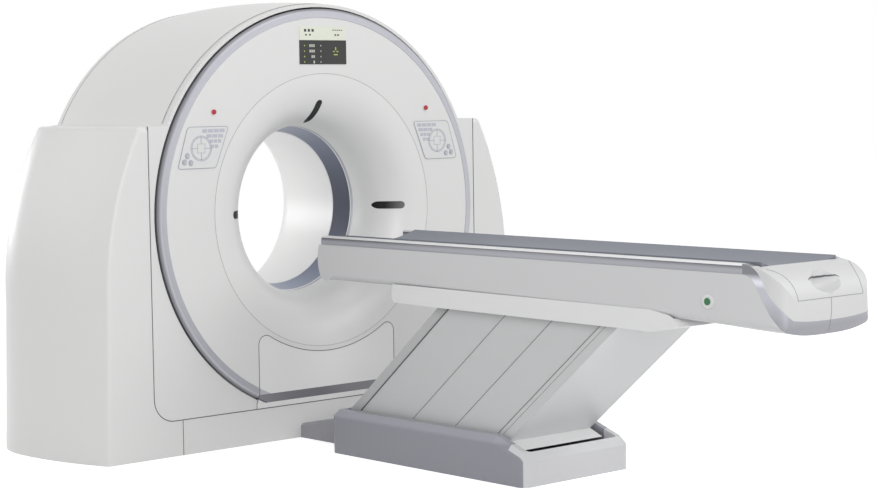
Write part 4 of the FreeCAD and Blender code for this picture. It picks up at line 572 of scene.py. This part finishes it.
class SCANNER_OT_controls(Builder, bpy.types.Operator):
    """Finish the display, the touch panels and the buttons"""

    bl_idname = "scanner.controls"
    bl_label = "Display and controls"

    def execute(self, context):
        colours = self.colours()
        self.lay_display(colours)
        film = moulded("panel_film", colours.panel, 0.35)
        lines = moulded("panel_print", colours.panel_line, 0.5)
        pads = moulded("panel_pads", colours.pad, 0.4)
        for side, name in ((-1, "left"), (1, "right")):
            self.lay_panel(side, name, film, lines, pads)
        dress(moulded("key_cap", colours.pad, 0.3), *[
            "round_key_%s_%d" % (side, number) for side in ("left", "right") for number in (1, 2, 3)])
        dress(glossy("stop_cap", colours.stop, 0.2), "stop_button_left", "stop_button_right")
        halo = moulded("stop_halo", shade(colours.cover, 1.2), 0.3)
        rings = [(arc(side * STOP_ACROSS, STOP_HEIGHT, HALO_RADIUS, 0.0, 348.0, FACE, 29), True)
                 for side in (-1, 1)]
        strips("stop_halos", rings, self.sizes().hairline * 1.4, halo, "root")
        return {"FINISHED"}

    def lay_display(self, colours):
        """The header plate, the screen under it, and the plain marks on both."""
        front = FACE - 3.0 * MM
        half, low, high, top = 0.132, 1.654, 1.760, 1.821
        header = eased_blocks("display_header", [((-half, front, high), (half, FACE, top))], 0.6 * MM)
        link("display_header", header, moulded("header_plate", colours.header, 0.45), "root",
             "bezel_cream", "display_bezel")
        glass = eased_blocks("display_glass", [((-half, front, low), (half, FACE, high))], 0.5 * MM)
        link("display_glass", glass, glossy("display_glass", colours.screen, 0.3), "root",
             "screen_glass", "display_screen")
        proud = front - 0.4 * MM

        def mark(x, z, width, height):
            """A mark that stands proud of the glass, from its low left corner."""
            return (x, proud, z), (x + width, front, z + height)

        marks = [mark(-half + 0.026 + 0.021 * dot, 1.797, 0.012, 0.012) for dot in range(3)]
        marks += [mark(half - 0.078 + 0.012 * dash, 1.803, 0.008, 0.004) for dash in range(5)]
        marks += [mark(x, 1.780, 0.009, 0.007) for x in (-0.100, -0.078, 0.066, 0.082)]
        ink = moulded("header_print", colours.screen, 0.5)
        link("header_marks", eased_blocks("header_marks", marks), ink, "root", "trim_grey")
        light = []
        for line, digits in enumerate((3, 3, 2, 1)):
            middle = high - 0.024 - 0.024 * line
            light += [mark(-0.045 - 0.011 * (digits - digit), middle - 0.006, 0.008, 0.012)
                      for digit in range(digits)]
            light.append(mark(-0.016, middle - 0.003, 0.005, 0.006))
        glow = Recipe("screen_digits", colours.mark, 0.5)
        link("screen_digits", eased_blocks("screen_digits", light), glow.material, "root",
             "trim_grey")
        green = [mark(-0.108, z, 0.005, 0.006) for z in (1.733, 1.709, 1.685, 1.661)]
        green += [mark(0.068, 1.716, 0.006, 0.014), mark(0.056, 1.708, 0.010, 0.005),
                  mark(0.076, 1.708, 0.010, 0.005), mark(0.060, 1.694, 0.022, 0.005)]
        lime = moulded("screen_symbol", colours.symbol, 0.5)
        link("screen_symbols", eased_blocks("screen_symbols", green), lime, "root", "trim_grey")

    def lay_panel(self, side, name, film, lines, pads):
        """A touch panel: its film plate, printed outlines and dial, and rows of flat pads."""
        front = FACE - 3.0 * MM
        proud = front - 0.5 * MM
        shape = bmesh.new()
        edge = plate(shape, [(side * x, z) for x, z in PANEL_CORNERS], FACE, front, 0.015)
        link("panel_film_" + name, finished("panel_film_" + name, shape), film, "root", "panel_light",
             "control_panel_" + name)
        x, z, dial, square = side * DIAL_ACROSS, DIAL_HEIGHT, DIAL_RADIUS, DIAL_SQUARE
        paths = [(edge, True), (arc(x, z, dial, 0.0, 352.5, front, 47), True),
                 (arc(x, z, dial - 0.006, 0.0, 352.5, front, 47), True),
                 ([(x - square, front, z - square), (x + square, front, z - square),
                   (x + square, front, z + square), (x - square, front, z + square)], True)]
        for across, rise in ((1, 0), (-1, 0), (0, 1), (0, -1)):
            paths.append(([(x + across * square, front, z + rise * square),
                           (x + across * dial, front, z + rise * dial)], False))
        for across, down in KEY_PLACES:
            key = arc(side * (KEY_ACROSS + across), z - down, KEY_RING, 0.0, 345.0, front, 23)
            paths.append((key, True))
        strips("panel_lines_" + name, paths, self.sizes().hairline, lines, "root")
        boxes = []
        for line, (first, count) in enumerate(PAD_ROWS):
            high = 1.381 - 0.022 * line
            width = 0.026 if line < 2 else 0.017
            for column in range(count):
                left = first + (width + 0.004) * column
                ends = sorted((side * left, side * (left + width)))
                boxes.append(((ends[0], proud, high - 0.015), (ends[1], front, high)))
        link("panel_pads_" + name, eased_blocks("panel_pads_" + name, boxes, 0.4 * MM), pads, "root",
             "key_white")


class SCANNER_OT_inside(Builder, bpy.types.Operator):
    """Finish the frame, the bearing and the turning parts inside the gantry"""

    bl_idname = "scanner.inside"
    bl_label = "Inside of the gantry"

    def execute(self, context):
        colours = self.colours()
        dress(moulded("frame_paint", colours.steel, 0.5), "gantry_base", "gantry_frame", "table_base",
              "main_arm", "second_arm", "table_chassis", "actuator_body")
        dress(metallic("bright_metal", colours.bright, 0.3, 1.0), "bearing_fixed_race",
              "bearing_turning_race", "rotor_plate", "slip_ring", "actuator_rod", "guide_rails")
        dress(moulded("housing_paint", shade(colours.bright, 0.7), 0.45), "brush_block", "xray_tube",
              "collimator", "detector", "generator", "oil_cooler")
        return {"FINISHED"}


class SCANNER_OT_pedestal(Builder, bpy.types.Operator):
    """Finish the duct, the table's base and the slanted covers"""

    bl_idname = "scanner.pedestal"
    bl_label = "Base and pedestal"

    def execute(self, context):
        colours = self.colours()
        dress(moulded("duct_paint", colours.duct, 0.45), "cable_duct")
        base = shell("base_paint", colours.base, 0.4)
        across, along, height = base.axes()
        # Painted light: the top rim lighter than the sides, as if lit from above
        base.over(base.ramp(height, 0.0, 1.0, 0.150, 0.165), shade(colours.base, 1.3))
        # Painted light: the foot-end face lighter, as if lit from the front
        base.over((abs(across) < 0.290) * (along < row(-1478.0)), colours.base_end_painted_light)
        base.over((abs(across) < 0.2995) * (along < row(-1566.0)), colours.base_end_painted_light)
        dress(base.material, "base_cover")
        dress(moulded("slat_paint", colours.slat, 0.45), "slat_head", "slat_middle", "slat_foot")
        foot = shell("foot_cover_paint", colours.slat, 0.45)
        across, _, _ = foot.axes()
        # Painted light: the foot face lighter than the side flanges, as if lit from the front
        foot.over(abs(across) < 0.2300, shade(colours.slat, 1.27))
        dress(foot.material, "foot_cover")
        dress(moulded("head_strip_paint", shade(colours.slat, 0.86), 0.45), "head_cover")
        self.lay_slat_seams(colours)
        self.lay_lip(colours)
        return {"FINISHED"}

    def slant(self, depth, across):
        """A line on a pedestal's side, from the base's rim up into the saddle."""
        high = 0.672
        rise = (high - RIM_HEIGHT) * LEAN
        return [(across, row(-depth), RIM_HEIGHT), (across, row(-depth) - rise, high)]

    def lay_slat_seams(self, colours):
        """Each cover's edge line over the one that it laps, on both sides, as painted shadow lines
        cast by the lapping edges; the wider dark strip at the head strip is painted shadow in its gap.
        """
        thin = moulded("slat_seam", shade(colours.slat, 0.30), 0.6)
        dark = moulded("slat_gap", colours.seam, 0.6)
        hairline = self.sizes().hairline
        for name, body, depth, half, radius, paint in (
                ("head_gap", "slat_head", 513.0, 0.2215, hairline * 3.0, dark),
                ("middle_seam", "slat_middle", 847.5, 0.2250, hairline * 1.3, thin),
                ("foot_seam", "slat_foot", 1109.5, 0.2285, hairline * 1.3, thin),
                ("cover_seam", "foot_cover", 1363.5, 0.2320, hairline * 1.6, thin),
                ("cover_fold", "foot_cover", 1392.0, 0.2320, hairline * 0.9, thin)):
            paths = [(self.slant(depth, side * half), False) for side in (-1, 1)]
            strips(name, paths, radius, paint, body)

    def lay_lip(self, colours):
        """The white lip that hangs from the foot cover over the well in the base."""
        half, thick = 0.230, 3.0 * MM
        head = Vector((0.0, row(-1417.0), 0.155))
        foot = Vector((0.0, row(-1484.0), 0.128))
        run = foot - head
        shape = bmesh.new()
        block(shape, (-half, -run.length / 2, -thick / 2), (half, run.length / 2, thick / 2))
        bmesh.ops.bevel(shape, geom=shape.edges[:], offset=1.0 * MM, segments=2, affect="EDGES",
                        profile=0.5, material=-1)
        tilt = Matrix.Rotation(math.atan2(-run.z, -run.y), 4, "X")
        place = Matrix.Translation((head + foot) / 2) @ tilt
        bmesh.ops.transform(shape, matrix=place, verts=shape.verts)
        link("white_lip", finished("white_lip", shape), moulded("lip_enamel", colours.lip, 0.35),
             "foot_cover", "slat_grey")


END_MIDDLE = (row(-2640.0), 0.800)
GRIP_SIDE = [(0.182, -2.0), (0.184, 13.0), (0.190, 28.0), (0.200, 40.0), (0.215, 50.0), (0.232, 60.0)]
GRIP_OUTLINE = [(-across, lean) for across, lean in reversed(GRIP_SIDE)] + GRIP_SIDE
GRIP_OPENING = [(-0.090, 24.0), (-0.072, 28.0), (-0.036, 32.0), (0.0, 33.0),
                (0.036, 32.0), (0.072, 28.0), (0.090, 24.0)]
GRIP_LEANS = [(-16.0, -16.0), (-9.0, 5.0), (36.0, 33.0), (42.0, 42.0)]


def raised(shape):
    """Lifts the lower rim of the grip's hollow, keeping the cap's own curve round it."""
    skin = BVHTree.FromBMesh(shape)

    def reach(lean):
        towards = Vector((0.0, math.cos(lean), -math.sin(lean)))
        place = skin.ray_cast(Vector((0.150, *END_MIDDLE)) - towards, towards)[0]
        return (place - Vector((0.150, *END_MIDDLE))).length if place else None

    moved = []
    for corner in shape.verts:
        out, up = END_MIDDLE[0] - corner.co.y, corner.co.z - END_MIDDLE[1]
        lean = math.degrees(math.atan2(up, out))
        share = 1.0 - eased(abs(corner.co.x), 0.100, 0.140)
        if out <= 0.0 or not share or not GRIP_LEANS[0][0] < lean < GRIP_LEANS[-1][0]:
            continue
        for (first, new_first), (last, new_last) in zip(GRIP_LEANS, GRIP_LEANS[1:]):
            if first <= lean <= last:
                aim = new_first + (new_last - new_first) * (lean - first) / (last - first)
        new_lean = math.radians(lean + (aim - lean) * share)
        old_reach, new_reach = reach(math.radians(lean)), reach(new_lean)
        if old_reach and new_reach and math.hypot(out, up) > 0.6 * old_reach:
            moved.append((corner, new_lean, new_reach - (old_reach - math.hypot(out, up))))
    for corner, lean, radius in moved:
        corner.co.y = END_MIDDLE[0] - radius * math.cos(lean)
        corner.co.z = END_MIDDLE[1] + radius * math.sin(lean)


def bent(place):
    """Where a point of the table's foot end goes: corners rounded in plan, bottom bilged."""
    x, y, z = place
    low = 1.0 - eased(z, 0.700, 0.860)
    reach = (row(-2500.0) - y) / 0.300
    if 0.0 < reach < 1.0:
        y -= 0.030 * math.sin(math.pi * reach) * low
    past = min(1.0, max(0.0, (abs(x) - 0.220) / 0.030))
    y += 0.018 * (1.0 - math.sqrt(1.0 - past * past)) * eased(row(-2600.0) - y, 0.0, 0.180)
    share = (abs(x) / 0.250) ** 3
    z -= 0.029 * (1.0 - share) * (1.0 - eased(z, 0.700, 0.800)) * eased(row(-2350.0) - y, 0.0, 0.350)
    return x, y, z


class SCANNER_OT_table(Builder, bpy.types.Operator):
    """Finish the table top, its rails, cradle and foot end"""

    bl_idname = "scanner.table"
    bl_label = "Table top"

    def execute(self, context):
        colours = self.colours()
        body_paint = moulded("table_shell", colours.table, 0.36)
        dress(moulded("saddle_shell", colours.saddle, 0.3), "saddle")
        rail = flaked("rail_trim", colours.rail)
        _, _, height = rail.axes()
        # Painted shadow: darker towards the rail's top, under the cradle's lip
        rail.over(rail.ramp(height, 0.0, 1.0, 0.896, 0.907), shade(colours.rail, 0.35))
        # Painted highlight along the rail's top edge
        rail.over(height > 0.9095, shade(colours.cap, 1.2))
        dress(rail.material, "side_rails")
        band = flaked("band_trim", colours.ring)
        _, _, height = band.axes()
        # Painted shade: the band darker towards the bottom
        band.over(band.ramp(height, 1.0, 0.0, 0.70, 0.80), shade(colours.ring, 0.60))
        # Painted reflection: a bright streak round the bend with a dark band above it
        band.over(band.ramp(height, 0.0, 1.0, 0.835, 0.852), shade(colours.ring, 1.5))
        band.over(band.ramp(height, 0.0, 1.0, 0.860, 0.885), shade(colours.ring, 0.42))
        dress(moulded("cradle_skin", colours.cradle, 0.5), "cradle")
        cap = moulded("cap_shell", colours.cap, 0.42)
        strip = self.bend_end("foot_band_shell", "foot_band", band.material, "band_lavender")
        end = self.bend_end("foot_cap_shell", "foot_cap", cap, "cap_white")
        self.bend_end("table_body_shell", "table_body", body_paint, "table_white")
        self.lay_end_seams((end, strip), colours)
        dress(moulded("lamp_bezel", shade(colours.cap, 1.15), 0.3), "button_bezel")
        dress(glossy("lamp_lens", colours.lamp, 0.15), "green_button")
        return {"FINISHED"}

    def bend_end(self, name, node, material, slot):
        """A solid of the foot end with its corners rounded in plan and its bottom bilged."""
        shape = copied(node)
        sliced(shape, (1.0, 0.0, 0.0), steps(-0.245, 0.246, 0.010))
        sliced(shape, (0.0, 1.0, 0.0), steps(row(-2780.0), row(-2200.0), 0.030))
        sliced(shape, (0.0, 0.0, 1.0), steps(0.700, 0.880, 0.015))
        if node == "foot_cap":
            raised(shape)
        for corner in shape.verts:
            corner.co = bent(corner.co)
        mesh = smoothed(name, shape)
        link(name, mesh, material, "table_top", slot, node)
        return mesh

    def lay_end_seams(self, ends, colours):
        """The grip panel's outline and the split below it as lines of painted shade, and the grip's
        dark opening as painted shadow.
        """
        shape = bmesh.new()
        for end in ends:
            shape.from_mesh(end)
        skin = BVHTree.FromBMesh(shape)
        shape.free()

        def on_skin(across, lean):
            """Where a ray from outside to the end's middle line meets the skin."""
            towards = Vector((0.0, math.cos(math.radians(lean)), -math.sin(math.radians(lean))))
            origin = Vector((across, *END_MIDDLE)) - towards
            place = skin.ray_cast(origin, towards)[0]
            if place is None:
                raise RuntimeError("the foot end has no skin at %.3f, %.1f" % (across, lean))
            return tuple(place)

        def route(points, count=12):
            path = []
            for (x0, lean0), (x1, lean1) in zip(points, points[1:]):
                for step in range(count):
                    share = step / count
                    path.append(on_skin(x0 + (x1 - x0) * share, lean0 + (lean1 - lean0) * share))
            path.append(on_skin(*points[-1]))
            return path

        seam = moulded("end_seam", shade(colours.cap, 0.42), 0.6)
        dark = moulded("grip_shadow", colours.seam, 0.7)
        outline = route(GRIP_OUTLINE)
        split = route([(0.0, GRIP_SIDE[0][1]), (0.0, -40.0)])
        strips("grip_seam", [(outline, False), (split, False)], self.sizes().hairline * 1.2, seam,
               "table_top")
        # Painted shadow: the dark strip under the grip's lip, where the hollow is deepest
        strips("grip_opening", [(route(GRIP_OPENING), False)], 3.4 * MM, dark, "table_top",
               tapered=True)


CAMERA_PLACE = (-5.7376, -7.4540, 1.5157)
CAMERA_YAW = math.radians(-41.97)
CAMERA_PITCH = math.radians(4.183)
CAMERA_ROLL = math.radians(-0.825)
FOCAL_LENGTH = 84.33
SENSOR_WIDTH = 36.0
AMBIENT = 0.43
FLOOR_GLOW = 0.62
LAMPS = [
    ("right_lamp", (4.0, -6.5, 5.0), (0.0, -0.5, 1.0), 4.0, 140.0),
    ("top_lamp", (0.0, -1.0, 6.5), (0.0, -1.0, 0.0), 5.0, 75.0),
    ("front_lamp", (-4.5, -8.5, 3.5), (0.0, -0.5, 0.8), 4.0, 280.0),
    ("left_lamp", (-5.0, 3.2, 3.2), (0.0, 0.2, 1.1), 3.5, 58.0),
    ("bore_lamp", (-1.3, 3.4, 1.4), (0.3, 0.2, 1.0), 1.0, 22.0),
]


class SCANNER_OT_stage(Builder, bpy.types.Operator):
    """Set the floor, the lamps, the white surroundings and the camera"""

    bl_idname = "scanner.stage"
    bl_label = "Stage"

    def execute(self, context):
        self.lay_floor()
        self.light_world()
        for lamp in LAMPS:
            self.hang(*lamp)
        self.place_camera()
        context.scene.view_settings.view_transform = "Standard"
        return {"FINISHED"}

    def lay_floor(self):
        shape = bmesh.new()
        bmesh.ops.create_grid(shape, x_segments=1, y_segments=1, size=self.sizes().floor / 2)
        mesh = finished("studio_floor", shape)
        floor = bpy.data.objects.new("studio_floor", mesh)
        floor.location.z = -0.5 * MM
        bpy.context.scene.collection.objects.link(floor)
        recipe = Recipe("studio_floor", self.colours().floor, 0.9)
        glow = recipe.node("ShaderNodeEmission", None, {"Color": (1, 1, 1, 1), "Strength": FLOOR_GLOW})
        both = recipe.node("ShaderNodeAddShader", None, {
            0: Value(recipe, recipe.shader.outputs[0]), 1: glow})
        mixed = recipe.node("ShaderNodeMixShader", None, {
            0: Value(recipe, self.seen_ray(recipe.tree)), 1: Value(recipe, recipe.shader.outputs[0]),
            2: both})
        end = recipe.tree.nodes["Material Output"]
        recipe.tree.links.new(mixed.socket, end.inputs["Surface"])
        mesh.materials.append(recipe.material)

    def seen_ray(self, tree):
        """1 for a ray that shows the surroundings: from the camera, a reflection or a refraction."""
        path = tree.nodes.new("ShaderNodeLightPath")
        seen = path.outputs["Is Camera Ray"]
        for kind in ("Is Glossy Ray", "Is Transmission Ray"):
            larger = tree.nodes.new("ShaderNodeMath")
            larger.operation = "MAXIMUM"
            tree.links.new(seen, larger.inputs[0])
            tree.links.new(path.outputs[kind], larger.inputs[1])
            seen = larger.outputs[0]
        return seen

    def light_world(self):
        world = bpy.data.worlds.new("studio")
        bpy.context.scene.world = world
        world.use_nodes = True
        tree = world.node_tree
        ground = tree.nodes["Background"]
        ground.inputs["Color"].default_value = (1, 1, 1, 1)
        strength = tree.nodes.new("ShaderNodeMapRange")
        strength.inputs["To Min"].default_value = AMBIENT
        strength.inputs["To Max"].default_value = 1.0
        tree.links.new(self.seen_ray(tree), strength.inputs["Value"])
        tree.links.new(strength.outputs[0], ground.inputs["Strength"])

    def hang(self, name, place, target, side, power):
        light = bpy.data.lights.new(name, "AREA")
        light.shape = "SQUARE"
        light.size = side
        light.energy = power
        lamp = bpy.data.objects.new(name, light)
        lamp.location = place
        lamp.rotation_euler = (Vector(target) - Vector(place)).to_track_quat("-Z", "Y").to_euler()
        bpy.context.scene.collection.objects.link(lamp)

    def place_camera(self):
        camera = bpy.data.objects.new("camera", bpy.data.cameras.new("camera"))
        camera.data.sensor_width = SENSOR_WIDTH
        camera.data.lens = FOCAL_LENGTH
        camera.data.clip_end = 100.0
        turn = (Matrix.Rotation(CAMERA_YAW, 4, "Z")
                @ Matrix.Rotation(math.pi / 2 - CAMERA_PITCH, 4, "X")
                @ Matrix.Rotation(CAMERA_ROLL, 4, "Z"))
        camera.matrix_world = Matrix.Translation(CAMERA_PLACE) @ turn
        bpy.context.scene.collection.objects.link(camera)
        bpy.context.scene.camera = camera


class SCANNER_PT_panel(bpy.types.Panel):
    """Lists the scanner's groups in the sidebar"""

    bl_idname = "SCANNER_PT_panel"
    bl_label = "CT Scanner"
    bl_space_type = "VIEW_3D"
    bl_region_type = "UI"
    bl_category = "Scanner"

    def draw(self, context):
        for operator in OPERATORS:
            self.layout.operator(operator.bl_idname)


OPERATORS = (
    SCANNER_OT_stage,
    SCANNER_OT_covers,
    SCANNER_OT_seams,
    SCANNER_OT_bore,
    SCANNER_OT_controls,
    SCANNER_OT_inside,
    SCANNER_OT_pedestal,
    SCANNER_OT_table,
)
CLASSES = (ScannerColours, ScannerSizes) + OPERATORS + (SCANNER_PT_panel,)


def register():
    for kind in CLASSES:
        bpy.utils.register_class(kind)
    bpy.types.Scene.scanner_colours = PointerProperty(type=ScannerColours)
    bpy.types.Scene.scanner_sizes = PointerProperty(type=ScannerSizes)


def unregister():
    del bpy.types.Scene.scanner_sizes
    del bpy.types.Scene.scanner_colours
    for kind in reversed(CLASSES):
        bpy.utils.unregister_class(kind)


def main():
    register()
    for operator in OPERATORS:
        group, name = operator.bl_idname.split(".")
        getattr(getattr(bpy.ops, group), name)()


if __name__ == "__main__":
    main()
